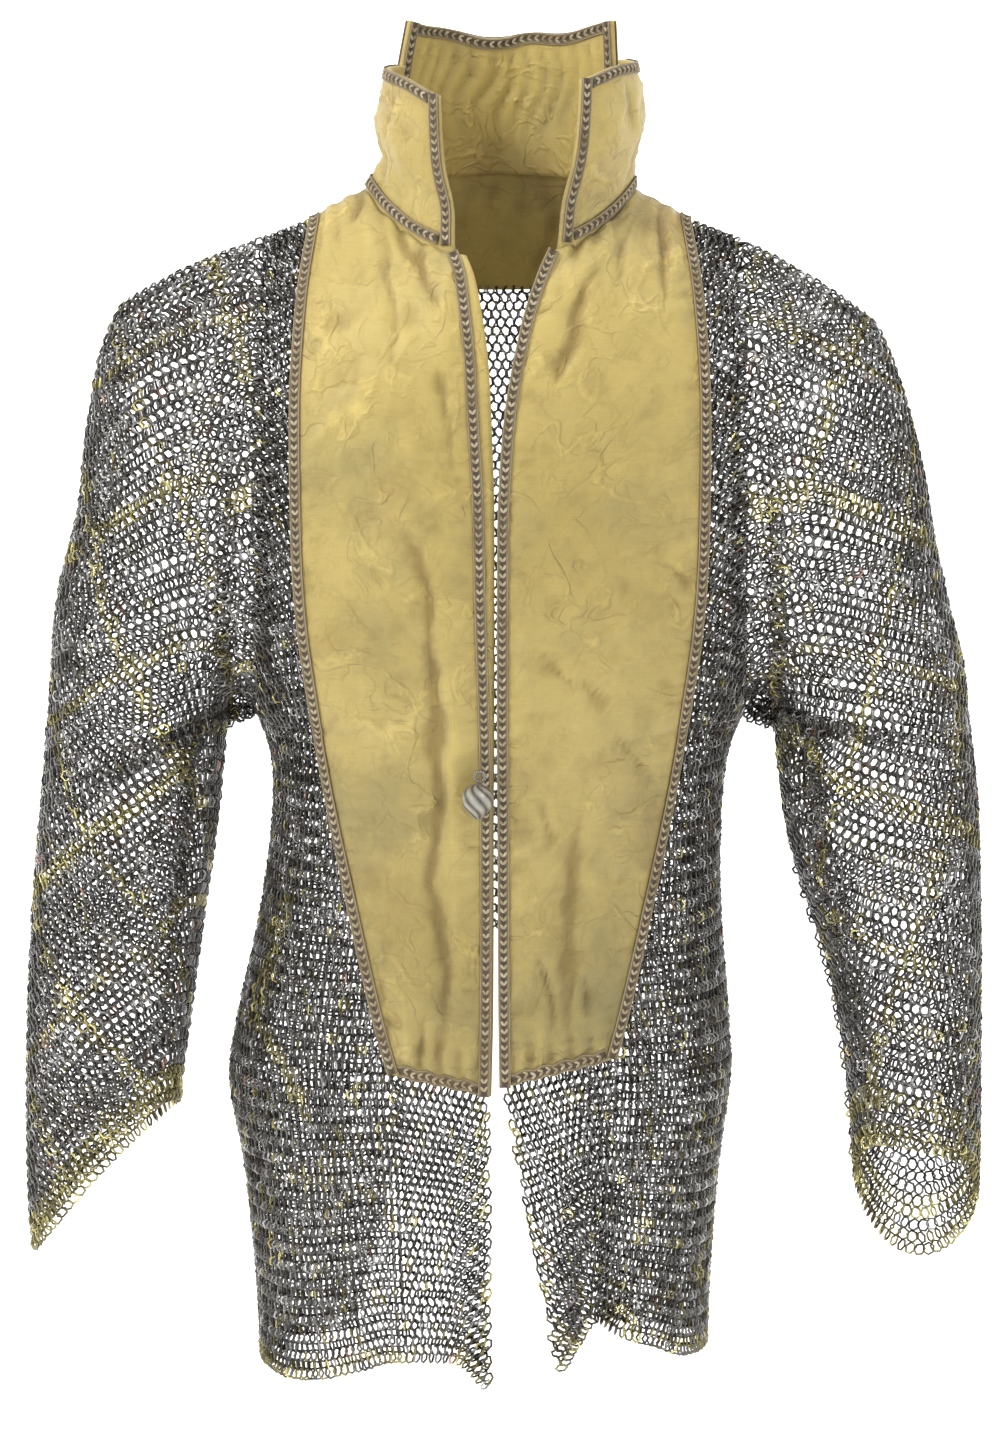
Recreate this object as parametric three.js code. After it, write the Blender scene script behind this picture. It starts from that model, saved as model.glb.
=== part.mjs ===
// A mail shirt with quilted silk fronts: an open coat of linked rings, with a silk breast panel on
// each side of the front opening, a silk back yoke, a standing collar in three pieces, braid on every
// silk edge, and one ball button with its loop. It hangs in its worn form with nobody in it.
// Millimetres, +Z up. The wearer faces -Y, so the wearer's right is -X. The origin is on the line
// through both shoulder tops, under the middle of the neck opening, where the wearer's shoulders hold it.
import * as THREE from "three";

// ---- driving dimensions ----
const MAIL_WALL = 2.4; // thickness of the linked rings
const SILK_WALL = 5; // quilted silk
const SILK_PROUD = 2.6; // how far the silk's face stands out from the rings' face
const SEAM_GAP = 0.25; // each piece keeps this far back from a seam
const ON_SEAM = 0.01; // a point this near the middle plane is on a shoulder or side seam
const BRAID_WIDTH = 7.5;
const BRAID_THICK = 1.9;
const BRAID_LIFT = 0.35; // clear of the silk under it

const ARM_X = 155; // armhole plane
const ARM_Z = -305; // underarm
const ARM_DEPTH = 82; // armhole, from its middle to its front or back edge
const SHOULDER_DROP = 160; // height over which the chest reaches its full depth
const VENT_TOP = -468; // the back is one piece above this height
const SEAM_HALF = 122; // the silk's outer edge on the shoulder line
const NECK_HALF = 86; // where the neck seam crosses the shoulder line

// Tables of [place, value], read by along(). Heights are in the first column unless it says otherwise.
const HALF_WIDTH = [[-740, 144], [-680, 146], [-604, 152.5], [-545, 161], [-503, 157], [-442, 148],
  [-388, 143.5], [-346, 143.8], [-325, 147.4], [ARM_Z, ARM_X]];
const CENTRE_X = [[-740, -10.5], [-604, -12], [-545, -13], [-442, -6.5], [-388, -3], [-346, -0.8],
  [ARM_Z, 0]];
const FRONT_DEPTH = [[-740, 98], [-604, 104], [-545, 108], [-442, 102], [-388, 100], [ARM_Z, 107],
  [-220, 112], [-140, 111], [60, 104]];
const BACK_DEPTH = [[-740, 108], [-604, 113], [-545, 110], [-442, 90], [-388, 85], [ARM_Z, 97],
  [-200, 107], [-100, 105], [60, 100]];
// Shoulder line: height against distance from the middle.
const FRONT_RIDGE = [[0, 55], [28, 51], [60, 41], [NECK_HALF, 32], [SEAM_HALF, 13], [ARM_X, 0]];
const BACK_RIDGE = [[0, 96], [40, 79], [70, 49], [NECK_HALF, 32], [SEAM_HALF, 13], [ARM_X, 0]];
// Collar seam: height against distance from the middle.
const NECK_FRONT = [[26, -3], [45, 2], [60, 9], [75, 20], [NECK_HALF, 32]];
const NECK_BACK = [[0, 38], [45, 37], [70, 34.5], [NECK_HALF, 32]];
// The silk panel's outer edge, and its opening edge on each side. The right panel's facing, a strip of
// silk between its opening edge and its braid, has its width given against the height.
const SILK_OUTER = [[-530, 71], [-488, 82.5], [-418, 98], [-348, 112], [-284, 122.5], [-238, 129],
  [-187, 132.5], [-98, 133.5], [-55, 131.5], [-20, 128], [13, SEAM_HALF]];
const OPENING_RIGHT = [[-540, -5.5], [-480, -4.2], [-349, -3.9], [-312, -3.6], [-220, -3.5], [-157, -3.6],
  [-117, -4.8], [-91, -5.9], [-65, -7.5], [-39, -11], [-14, -16.4], [0, -22.8]];
const FACING = [[-540, 1.2], [-349, 1.4], [-312, 2.4], [-220, 5.4], [-157, 6.6], [-91, 8], [-39, 7.2],
  [0, 4]];
const OPENING_LEFT = [[-540, -0.4], [-480, -1.2], [-354, -1.8], [-289, -2.2], [-199, -2], [-157, -1.4],
  [-117, 1], [-91, 3.8], [-65, 8.6], [-39, 14.7], [-14, 23.6], [0, 30.5]];
// Front edge of the skirt below the silk, and the hem's height against x.
const SKIRT_EDGE_RIGHT = [[-740, -5], [-640, -6], [-540, -6.5]];
const SKIRT_EDGE_LEFT = [[-740, 41], [-683, 29], [-631, 18], [-590, 11], [-535, 1.5]];
const HEM_FRONT = [[-156, -734], [-135, -737], [-92, -727], [-70, -717], [-34, -717], [-22, -721], [-5, -738],
  [36, -728], [50, -711], [62, -697], [75, -702], [100, -711], [118, -722], [138, -726]];
const HEM_BACK = [[-160, -734], [-95, -738], [-60, -732], [0, -730], [60, -734], [140, -726]];
// Edges of the back vent.
const VENT_RIGHT = [[-740, -97], [-594, -57], [-520, -24], [VENT_TOP, -1.5]];
const VENT_LEFT = [[-740, 60], [-594, 50], [-520, 22], [VENT_TOP, 1.5]];
// Sleeves, each with its reach from the underarm to the outside against the angle from straight up, and,
// where it hangs, how far its inner and outer sides are from the middle. cuff holds four heights.
const SLEEVES = {
  right: {
    reach: [[0, 305], [12, 289], [18, 279], [24, 252], [30, 220], [40, 180], [52, 159], [75, 139],
      [90, 136.5]],
    inner: [[-680, 212], [-565, 210], [-526, 206], [-495, 201.5], [-447, 195], [-400, 188], [-351, 182],
      [ARM_Z, 178]],
    outer: [[-680, 304], [-622, 308], [-510, 307.5], [-422, 302.5], [-352, 296], [ARM_Z, 292]],
    cuff: { outer: -665, back: -618, inner: -565, front: -588 },
  },
  left: {
    reach: [[0, 305], [12, 282], [19, 265], [24, 244], [30, 219], [40, 187], [50, 165], [65, 150], [90, 147]],
    inner: [[-690, 234], [-610, 233], [-555, 229], [-513, 223.5], [-482, 217.5], [-452, 209], [-418, 197],
      [-386, 188.5], [-340, 182], [ARM_Z, 179]],
    outer: [[-690, 309], [-616, 312.5], [-470, 312.5], [-401, 311], [-361, 309], [ARM_Z, 302.5]],
    cuff: { outer: -628, back: -680, inner: -610, front: -588 },
  },
};
const SLEEVE_DEPTH = [[-690, 50], [-565, 54], [-445, 60], [ARM_Z, 68]];

// ---- small helpers ----
const clamp = (v, low = 0, high = 1) => Math.min(high, Math.max(low, v));
const mix = (a, b, t) => a + (b - a) * t;
const ease = (t) => clamp(t) ** 2 * (3 - 2 * clamp(t));
const bump = (x, middle, width) => Math.exp(-(((x - middle) / width) ** 2));
const steps = (n) => Array.from({ length: n + 1 }, (_, i) => i / n);
const towardsEdge = (t) => Math.sin((t * Math.PI) / 2); // closer steps near 1
const SIDES = { right: -1, left: 1 };

// The table's smooth value at a place: cubic pieces whose slopes are the mean slopes at each row.
function along(table, place) {
  const n = table.length;
  const p = clamp(place, table[0][0], table[n - 1][0]);
  let i = 0;
  while (i < n - 2 && p > table[i + 1][0]) i++;
  const slope = (k) => {
    const a = table[Math.max(0, k - 1)];
    const b = table[Math.min(n - 1, k + 1)];
    return (b[1] - a[1]) / (b[0] - a[0]);
  };
  const [x0, y0] = table[i];
  const [x1, y1] = table[i + 1];
  const h = x1 - x0;
  const t = (p - x0) / h;
  const rest = 1 - t;
  return y0 * rest ** 2 * (1 + 2 * t) + y1 * t ** 2 * (3 - 2 * t)
    + h * t * rest * (slope(i) * rest - slope(i + 1) * t);
}

// ---- the worn form ----
const ridge = (face, x) => along(face < 0 ? FRONT_RIDGE : BACK_RIDGE, Math.abs(x));

// Soft hanging folds of the skirts, which grow towards the hem.
function folds(face, x, z) {
  const grow = ease((-520 - z) / 160);
  if (face < 0)
    return grow * (-24 * bump(x, 60, 13) + 9 * bump(x, 30, 14) + 7 * bump(x, 96, 20) - 7 * bump(x, -92, 16)
      + 7 * bump(x, -60, 18));
  return grow * (9 * bump(x, 62, 14) - 8 * bump(x, 96, 18) + 8 * bump(x, -100, 16) - 8 * bump(x, -128, 14));
}

// How far the front (face -1) or back (face 1) stands from the middle plane at x, z.
// Each level is a rounded box of half width W: edge depth at the armhole, full depth in the middle.
function depth(face, x, z) {
  const under = clamp((ridge(face, x) - z) / SHOULDER_DROP);
  const round = (1 - (1 - under) ** 2) ** 0.8;
  const above = clamp((z - ARM_Z) / 130);
  const edge = ARM_DEPTH * round * Math.sqrt(1 - (1 - above) ** 2);
  const full = along(face < 0 ? FRONT_DEPTH : BACK_DEPTH, z) * round;
  const soft = ease((z - ARM_Z) / 185);
  const half = z < ARM_Z ? along(HALF_WIDTH, z) : ARM_X;
  const t = clamp(Math.abs(x - along(CENTRE_X, z)) / half);
  const power = mix(2.4, 2, soft);
  const across = (1 - t ** power) ** mix(1 / 2.4, 1, soft);
  return edge + (full - edge + folds(face, x, z)) * across;
}
const onTorso = (face, x, z) => new THREE.Vector3(x, face * depth(face, x, z), z);

// The form's own normal, from the slopes of its depth. On a shoulder or side seam it is kept in the
// middle plane, so that front and back share one seam face.
function torsoNormal(face, x, z) {
  const h = 0.5;
  const acrossSlope = (depth(face, x + h, z) - depth(face, x - h, z)) / (2 * h);
  const upSlope = (depth(face, x, z + h) - depth(face, x, z - h)) / (2 * h);
  const y = depth(face, x, z) < ON_SEAM ? 0 : face;
  return new THREE.Vector3(-acrossSlope, y, -upSlope).normalize();
}
const sideX = (side, z) => (z < ARM_Z ? along(CENTRE_X, z) + side * along(HALF_WIDTH, z) : side * ARM_X);
const silkOuter = (side, z) => side * along(SILK_OUTER, z);

// A column of heights up to a top that depends on x, where x depends on the height: solved by repeating.
function topOf(xAt, top) {
  let z = top(xAt(0));
  for (let i = 0; i < 12; i++) z = top(xAt(z));
  return z;
}

// ---- walls and strips ----
// A grid is rows of points. Where no formula gives its normals, they come from its own steps.
function normalsOf(grid, outward) {
  const rows = grid.length;
  const columns = grid[0].length;
  return grid.map((row, j) => row.map((p, i) => {
    const across = new THREE.Vector3().subVectors(row[Math.min(i + 1, columns - 1)], row[Math.max(i - 1, 0)]);
    const above = grid[Math.min(j + 1, rows - 1)][i];
    const up = new THREE.Vector3().subVectors(above, grid[Math.max(j - 1, 0)][i]);
    const n = new THREE.Vector3().crossVectors(across, up).normalize();
    if (n.dot(outward(p)) < 0) n.negate();
    return n;
  }));
}

// Closed body between two grids of the same size, with a rim on its open borders.
function bodyBetween(outer, inner, wraps) {
  const rows = outer.length;
  const columns = outer[0].length;
  const points = [...outer.flat(), ...inner.flat()];
  const under = rows * columns;
  const faces = [];
  const at = (j, i) => j * columns + (i % columns);
  const lastColumn = wraps ? columns : columns - 1;
  const quad = (a, b, c, d) => faces.push(a, b, c, a, c, d);
  for (let j = 0; j < rows - 1; j++)
    for (let i = 0; i < lastColumn; i++) {
      quad(at(j, i), at(j, i + 1), at(j + 1, i + 1), at(j + 1, i));
      quad(under + at(j, i), under + at(j + 1, i), under + at(j + 1, i + 1), under + at(j, i + 1));
    }
  const rim = (a, b) => quad(b, a, under + a, under + b);
  for (let i = 0; i < lastColumn; i++) {
    rim(at(0, i), at(0, i + 1));
    rim(at(rows - 1, i + 1), at(rows - 1, i));
  }
  if (!wraps)
    for (let j = 0; j < rows - 1; j++) {
      rim(at(j + 1, 0), at(j, 0));
      rim(at(j, columns - 1), at(j + 1, columns - 1));
    }
  return facingOut(points, faces);
}

// The geometry, with its faces turned round if its volume says that they point inwards.
function facingOut(points, faces) {
  let volume = 0;
  for (let f = 0; f < faces.length; f += 3) {
    const [a, b, c] = [points[faces[f]], points[faces[f + 1]], points[faces[f + 2]]];
    volume += a.dot(new THREE.Vector3().crossVectors(b, c));
  }
  if (volume < 0)
    for (let f = 0; f < faces.length; f += 3) [faces[f + 1], faces[f + 2]] = [faces[f + 2], faces[f + 1]];
  return new THREE.BufferGeometry().setFromPoints(points).setIndex(faces);
}

// Moves a grid's border points into the piece by the seam gap, along the grid.
function keptBack(grid, wraps) {
  const rows = grid.length;
  const columns = grid[0].length;
  const towards = (p, q, gap) => p.clone().add(new THREE.Vector3().subVectors(q, p).setLength(gap));
  return grid.map((row, j) => row.map((p, i) => {
    let moved = p.clone();
    if (j === 0) moved = towards(moved, grid[1][i], SEAM_GAP);
    if (j === rows - 1) moved = towards(moved, grid[rows - 2][i], SEAM_GAP);
    if (!wraps && i === 0) moved = towards(moved, row[1], SEAM_GAP);
    if (!wraps && i === columns - 1) moved = towards(moved, row[columns - 2], SEAM_GAP);
    return moved;
  }));
}

const offset = (grid, normals, by) =>
  grid.map((row, j) => row.map((p, i) => p.clone().addScaledVector(normals[j][i], by)));

// A wall on a grid: its outer face stands proud of the grid, and its inner face is a thickness below that.
function wall(grid, normals, { proud = 0, thick, wraps = false }) {
  return bodyBetween(keptBack(offset(grid, normals, proud), wraps),
    keptBack(offset(grid, normals, proud - thick), wraps), wraps);
}

// Part of a grid or of its normals: rows and columns between two numbers, where -1 is the last.
function part(grid, [row0, row1], [column0, column1]) {
  const cut = (list, a, b) => list.slice(a < 0 ? list.length + a : a, (b < 0 ? list.length + b : b) + 1);
  return cut(grid, row0, row1).map((row) => cut(row, column0, column1));
}

// Normals of a tube's grid, whose rows are closed rings round their middles.
function tubeNormals(grid) {
  return grid.map((row, j) => ringNormals(grid, j));
}
function ringNormals(grid, j) {
  const row = grid[j];
  const n = row.length;
  const middle = row.reduce((sum, p) => sum.add(p), new THREE.Vector3()).divideScalar(n);
  return row.map((p, i) => {
    const across = new THREE.Vector3().subVectors(row[(i + 1) % n], row[(i + n - 1) % n]);
    const above = grid[Math.min(j + 1, grid.length - 1)][i];
    const up = new THREE.Vector3().subVectors(above, grid[Math.max(j - 1, 0)][i]);
    const normal = new THREE.Vector3().crossVectors(across, up).normalize();
    if (normal.dot(new THREE.Vector3().subVectors(p, middle)) < 0) normal.negate();
    return normal;
  });
}

// ---- materials ----
const finish = (color, roughness, metalness) =>
  new THREE.MeshStandardMaterial({ color, roughness, metalness });
const MATERIALS = {
  mail: finish(0x55544e, 0.45, 0.9),
  silk: finish(0xb79b50, 0.6, 0),
  braid: finish(0x7b6a48, 0.75, 0.2),
  button: finish(0x8a8880, 0.35, 0.9),
};
const shirt = new THREE.Group();
function add(name, geometry, material) {
  const mesh = new THREE.Mesh(geometry, MATERIALS[material]);
  mesh.name = name;
  shirt.add(mesh);
}

// ---- pieces of mail ----
const UPPER_ROWS = 10; // levels from the underarm to the top edge
const LOWER_ROWS = 6; // levels from the silk's lower corner to the underarm
const BACK_LOWER_ROWS = 4;
const SKIRT_ROWS = 5;
const SIDE_COLUMNS = 4;
const SKIRT_COLUMNS = 10;
const BACK_SKIRT_COLUMNS = 8;
const transposed = (columns) => columns[0].map((_, j) => columns.map((c) => c[j]));

// Places [x, z] of a column from its bottom to its top edge, with one level at the underarm.
function levels(bottom, lowerRows, topAt, xAt) {
  const low = steps(lowerRows).map((t) => mix(bottom, ARM_Z, t)).map((z) => [xAt(z), z]);
  const high = steps(UPPER_ROWS).slice(1).map((t) => {
    const share = (1 - Math.cos(Math.PI * t)) / 2;
    const z = topOf(xAt, (x) => mix(ARM_Z, topAt(x), share));
    return [xAt(z), z];
  });
  return [...low, ...high];
}

// Points and normals on the worn form, from columns of places [x, z].
function torsoGrids(face, columns) {
  const places = transposed(columns);
  return [onTorso, torsoNormal].map((at) => places.map((row) => row.map(([x, z]) => at(face, x, z))));
}
function addMail(name, face, columns) {
  add(name, wall(...torsoGrids(face, columns), { thick: MAIL_WALL }), "mail");
}

const SILK_BOTTOM = { right: { inner: -540, outer: -526 }, left: { inner: -534, outer: -517 } };
const opening = (name, z) => along(name === "right" ? OPENING_RIGHT : OPENING_LEFT, z);

// Height of a silk panel's lower edge: a straight line from its opening edge to its outer edge.
function silkBottom(name, x) {
  const { inner, outer } = SILK_BOTTOM[name];
  const innerX = opening(name, inner);
  const outerX = silkOuter(SIDES[name], outer);
  return mix(inner, outer, clamp((x - innerX) / (outerX - innerX)));
}

for (const [name, side] of Object.entries(SIDES)) {
  // Beside the silk, from the silk's lower corner to the shoulder line.
  const chest = steps(SIDE_COLUMNS).map((t) => levels(SILK_BOTTOM[name].outer, LOWER_ROWS,
    (x) => ridge(-1, x), (z) => mix(silkOuter(side, z), sideX(side, z), towardsEdge(t))));
  addMail("mail_chest_" + name, -1, chest);

  // Below the silk, from the front edge to the side.
  const edge = name === "right" ? SKIRT_EDGE_RIGHT : SKIRT_EDGE_LEFT;
  const skirt = steps(SKIRT_COLUMNS).map((t) => {
    const xAt = (z) => mix(along(edge, z), sideX(side, z), towardsEdge(t));
    const high = topOf(xAt, (x) => silkBottom(name, x));
    const low = topOf(xAt, (x) => along(HEM_FRONT, x));
    return steps(SKIRT_ROWS).map((v) => mix(low, high, v)).map((z) => [xAt(z), z]);
  });
  addMail("mail_skirt_" + name, -1, skirt);

  // Back skirt, from the vent to the side.
  const vent = name === "right" ? VENT_RIGHT : VENT_LEFT;
  const backSkirt = steps(BACK_SKIRT_COLUMNS).map((t) => {
    const xAt = (z) => mix(along(vent, z), sideX(side, z), towardsEdge(t));
    const low = topOf(xAt, (x) => along(HEM_BACK, x));
    return steps(SKIRT_ROWS).map((v) => mix(low, VENT_TOP, v)).map((z) => [xAt(z), z]);
  });
  addMail("mail_back_skirt_" + name, 1, backSkirt);
}

// The back above the vent, up to the yoke's edge and, beside the yoke, to the shoulder lines.
const YOKE_SIDE = 10; // height of the yoke's two ends below the shoulder line
const YOKE_DROP = 46; // how much lower its edge is in the middle
const YOKE_SHARE = SEAM_HALF / ARM_X;
const yokeEdge = (x) => along(BACK_RIDGE, SEAM_HALF) - YOKE_SIDE
  - YOKE_DROP * Math.sqrt(Math.max(0, 1 - (x / SEAM_HALF) ** 2));
const yokeShares = [0, 0.2, 0.4, 0.58, 0.72, 0.88, 1].map((t) => t * YOKE_SHARE);
const besideShares = [YOKE_SHARE + 0.008, 0.87, 0.94, 1];
const bothWays = (shares) => [...shares.slice(1).map((t) => -t).reverse(), ...shares];
const besideYoke = (share) => Math.abs(share) > YOKE_SHARE;
const back = bothWays([...yokeShares, ...besideShares]).map((share) => levels(VENT_TOP, BACK_LOWER_ROWS,
  besideYoke(share) ? (x) => ridge(1, x) : yokeEdge,
  (z) => mix(sideX(-1, z), sideX(1, z), (share + 1) / 2)));
addMail("mail_back", 1, back);

// ---- sleeves ----
// A sleeve is a fan of sections from the armhole round the shoulder, then a hanging tube to the cuff.
// A section runs down its front half and up its back half: share 1 is its outside, share 0 its inside.
const AROUND = 20;
const FAN_ANGLES = [0, 9, 18, 25, 33, 46, 60, 75];
const TUBE_ROWS = 6;
const UNDERARM_HALF = 68; // depth of the tube at the underarm's height
const ARMHOLE_GAP = 0.5; // from the armhole plane to the sleeve
const sectionAngle = (k) => (Math.PI * 2 * k) / AROUND;
const sectionShare = (k) => (1 + Math.cos(sectionAngle(k))) / 2;
const sectionFace = (k) => (k <= AROUND / 2 ? -1 : 1);
const roundDepth = (share) => Math.sqrt(Math.max(0, 1 - (2 * share - 1) ** 2));

function fanSection(side, { reach: reaches, inner }, angle) {
  const radians = THREE.MathUtils.degToRad(angle);
  const reach = along(reaches, angle);
  const inside = (along(inner, ARM_Z) - ARM_X) * ease(angle / 70);
  const rounded = ease(angle / 50);
  return Array.from({ length: AROUND }, (_, k) => {
    const share = sectionShare(k);
    const out = mix(inside, reach, share);
    const armhole = depth(sectionFace(k), ARM_X, mix(ARM_Z, ridge(1, ARM_X), share));
    const y = sectionFace(k) * mix(armhole, UNDERARM_HALF * roundDepth(share), rounded);
    const x = ARM_X + ARMHOLE_GAP + out * Math.sin(radians);
    return new THREE.Vector3(side * x, y, ARM_Z + out * Math.cos(radians));
  });
}

// The cuff's height round the section, a wave through its outer, front, inner and back heights.
function cuffHeight({ outer, front, inner, back: behind }, angle) {
  const middle = (outer + inner + behind + front) / 4;
  const twice = (outer + inner - behind - front) / 4;
  return middle + ((outer - inner) / 2) * Math.cos(angle) - ((behind - front) / 2) * Math.sin(angle)
    + twice * Math.cos(2 * angle);
}

function tubeSection(side, { inner, outer, cuff }, down) {
  return Array.from({ length: AROUND }, (_, k) => {
    const z = mix(ARM_Z, cuffHeight(cuff, sectionAngle(k)), down);
    const share = sectionShare(k);
    const y = sectionFace(k) * along(SLEEVE_DEPTH, z) * roundDepth(share);
    return new THREE.Vector3(side * mix(along(inner, z), along(outer, z), share), y, z);
  });
}

for (const [name, side] of Object.entries(SIDES)) {
  const sleeve = SLEEVES[name];
  const sections = [...FAN_ANGLES.map((angle) => fanSection(side, sleeve, angle)),
    ...steps(TUBE_ROWS).map((down) => tubeSection(side, sleeve, down))];
  const normals = tubeNormals(sections);
  normals[0].forEach((n) => n.setX(0).normalize()); // the seam face stays in the armhole's plane
  add("sleeve_" + name, wall(sections, normals, { thick: MAIL_WALL, wraps: true }), "mail");
}

// ---- silk fronts and yoke, with their braid ----
const SILK_PANEL = { proud: SILK_PROUD, thick: SILK_WALL };
const onFace = (proud) => ({ proud: proud + BRAID_LIFT + BRAID_THICK, thick: BRAID_THICK });
const ALL = [0, -1];
const INSIDE = [1, -2];
const FIRST = [0, 1];
const LAST = [-2, -1];

// Shares with one braid's width between the first two and the last two.
function bandedSteps(columns, edge) {
  return [0, ...steps(columns - 2).map((t) => mix(edge, 1 - edge, t)), 1];
}
function addPanel(name, [grid, normals], size, bands) {
  add(name, wall(grid, normals, size), "silk");
  for (const [band, rows, columns] of bands)
    add("braid_" + name + "_" + band, wall(part(grid, rows, columns), part(normals, rows, columns),
      onFace(size.proud)), "braid");
}

const SILK_COLUMNS = 7; // between the braid of the opening and the braid of the outer edge
const frontTop = (x) => (Math.abs(x) < NECK_HALF ? along(NECK_FRONT, Math.abs(x)) : ridge(-1, x));
for (const [name, side] of Object.entries(SIDES)) {
  const facing = (z) => (name === "right" ? along(FACING, z) : 0);
  const inner = (z) => opening(name, z) + side * (facing(z) + BRAID_WIDTH);
  const outer = (z) => silkOuter(side, z) - side * BRAID_WIDTH;
  const columns = [
    (z) => opening(name, z) + side * facing(z),
    ...steps(SILK_COLUMNS).map((t) => (z) => mix(inner(z), outer(z), t)),
    (z) => silkOuter(side, z),
  ];
  if (name === "right") columns.unshift((z) => opening(name, z));
  const panel = columns.map((xAt) => {
    const places = levels(topOf(xAt, (x) => silkBottom(name, x)), LOWER_ROWS, frontTop, xAt);
    const hem = places[0][1] + BRAID_WIDTH;
    places.splice(1, 0, [xAt(hem), hem]);
    return places;
  });
  const first = columns.length - SILK_COLUMNS - 3;
  addPanel("silk_front_" + name, torsoGrids(-1, panel), SILK_PANEL,
    [["opening", ALL, [first, first + 1]], ["side", ALL, LAST], ["hem", FIRST, [first + 1, -2]]]);
}

const backTop = (x) => (Math.abs(x) < NECK_HALF ? along(NECK_BACK, Math.abs(x)) : ridge(1, x));
const yoke = bothWays(yokeShares).map((share) => {
  const x = share * ARM_X;
  const bottom = yokeEdge(x);
  const top = backTop(x);
  const first = Math.min(bottom + BRAID_WIDTH, mix(bottom, top, 0.6));
  return [bottom, first, mix(first, top, 0.4), mix(first, top, 0.75), top].map((z) => [x, z]);
});
addPanel("silk_yoke", torsoGrids(1, yoke), SILK_PANEL, [["hem", FIRST, ALL]]);

// ---- collar ----
// Three upright pieces round the neck. Angle 0 is the front, 90 the wearer's left side, 180 the back.
// Each goes from one angle to another, along the neck seam and along its top edge.
const COLLAR_SPANS = {
  right: { seam: [-20, -114], top: [-37, -114] },
  left: { seam: [26, 112], top: [36, 112] },
  back: { seam: [122, 238], top: [122, 238] },
};
const COLLAR_COLUMNS = 9;
const COLLAR_PANEL = { proud: 1.5, thick: 4 };
const COLLAR_CLEAR = 3.4; // its lower edge stands this far above the neck seam
const COLLAR_MIDDLE_X = 7;
// Top edge: half width, half depth and height against the angle from the front.
const COLLAR_WIDE = [[0, 76], [60, 76], [90, 79], [114, 76], [122, 77.5], [180, 77]];
const COLLAR_DEEP = [[0, 62], [90, 62], [180, 66]];
const COLLAR_TOP = {
  right: [[20, 96], [37, 98], [60, 107], [90, 111], [114, 111]],
  left: [[26, 106], [36, 108], [60, 115], [90, 115], [112, 115]],
  back: [[122, 139.5], [150, 131], [180, 125.5]],
};

// A point of the collar: on the straight line from the neck seam to the top edge, swollen outwards.
function collarPoint(name, share, up) {
  const { seam, top: edge } = COLLAR_SPANS[name];
  const angle = mix(mix(seam[0], seam[1], share), mix(edge[0], edge[1], share), up);
  const radians = THREE.MathUtils.degToRad(angle);
  const turn = angle <= 180 ? Math.abs(angle) : 360 - angle;
  const seamX = NECK_HALF * Math.sin(radians);
  const face = turn < 90 ? -1 : 1;
  const seamZ = along(face < 0 ? NECK_FRONT : NECK_BACK, Math.abs(seamX));
  const base = new THREE.Vector3(seamX, face * depth(face, seamX, seamZ), seamZ + COLLAR_CLEAR);
  const top = new THREE.Vector3(COLLAR_MIDDLE_X + along(COLLAR_WIDE, turn) * Math.sin(radians),
    -along(COLLAR_DEEP, turn) * Math.cos(radians), along(COLLAR_TOP[name], turn));
  // The left side is fuller than the right, and the right is more drawn in above the seam.
  const swell = (turn < 120 ? 2.5 + 2.5 * Math.sin(radians) : 2) * Math.sin(Math.PI * up);
  const waist = (turn < 120 ? 6.5 - 2.5 * Math.sin(radians) : 4) * bump(up, 0.25, 0.18);
  const point = base.lerp(top, up);
  point.x += Math.sin(radians) * (swell - waist);
  point.y -= Math.cos(radians) * swell;
  return point;
}
const COLLAR_OUT = (p) => new THREE.Vector3(p.x - COLLAR_MIDDLE_X, p.y, 0);
const COLLAR_HEIGHT = 95;
const COLLAR_RADIUS = 78;
for (const [name, { top: [from, to] }] of Object.entries(COLLAR_SPANS)) {
  const arc = Math.abs(THREE.MathUtils.degToRad(to - from)) * COLLAR_RADIUS;
  const grid = bandedSteps(5, BRAID_WIDTH / COLLAR_HEIGHT).map((up) =>
    bandedSteps(COLLAR_COLUMNS, BRAID_WIDTH / arc).map((share) => collarPoint(name, share, up)));
  addPanel("collar_" + name, [grid, normalsOf(grid, COLLAR_OUT)], COLLAR_PANEL,
    [["seam", FIRST, INSIDE], ["top", LAST, INSIDE], ["end_1", ALL, FIRST], ["end_2", ALL, LAST]]);
}

// ---- button ----
const BUTTON_X = -14.3;
const BUTTON_Z = -345;
const BUTTON_RADIUS = 10.2;
const LOOP_RADIUS = 3.2;
const LOOP_WIRE = 1.1;
const BUTTON_CLEAR = 1.2; // from the braid to the ball
const buttonY = -(depth(-1, BUTTON_X, BUTTON_Z) + SILK_PROUD + BRAID_LIFT + BRAID_THICK + BUTTON_CLEAR
  + BUTTON_RADIUS);
// A ball drawn out to a point below.
const ballProfile = steps(12).map((t) => {
  const angle = Math.PI * (t - 0.5);
  const point = angle < 0 ? 1 + 0.28 * Math.sin(-angle) ** 6 : 1;
  return new THREE.Vector2(BUTTON_RADIUS * Math.cos(angle), BUTTON_RADIUS * Math.sin(angle) * point);
});
ballProfile[0].x = 0;
ballProfile[ballProfile.length - 1].x = 0;
const ball = new THREE.LatheGeometry(ballProfile, 24).rotateX(Math.PI / 2);
add("button_ball", ball.translate(BUTTON_X, buttonY, BUTTON_Z), "button");
const loop = new THREE.TorusGeometry(LOOP_RADIUS, LOOP_WIRE, 8, 16).rotateX(Math.PI / 2);
const loopZ = BUTTON_Z + BUTTON_RADIUS + LOOP_RADIUS + LOOP_WIRE + 0.3;
add("button_loop", loop.translate(BUTTON_X + 1.5, buttonY, loopZ), "button");

export default shirt;
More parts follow.
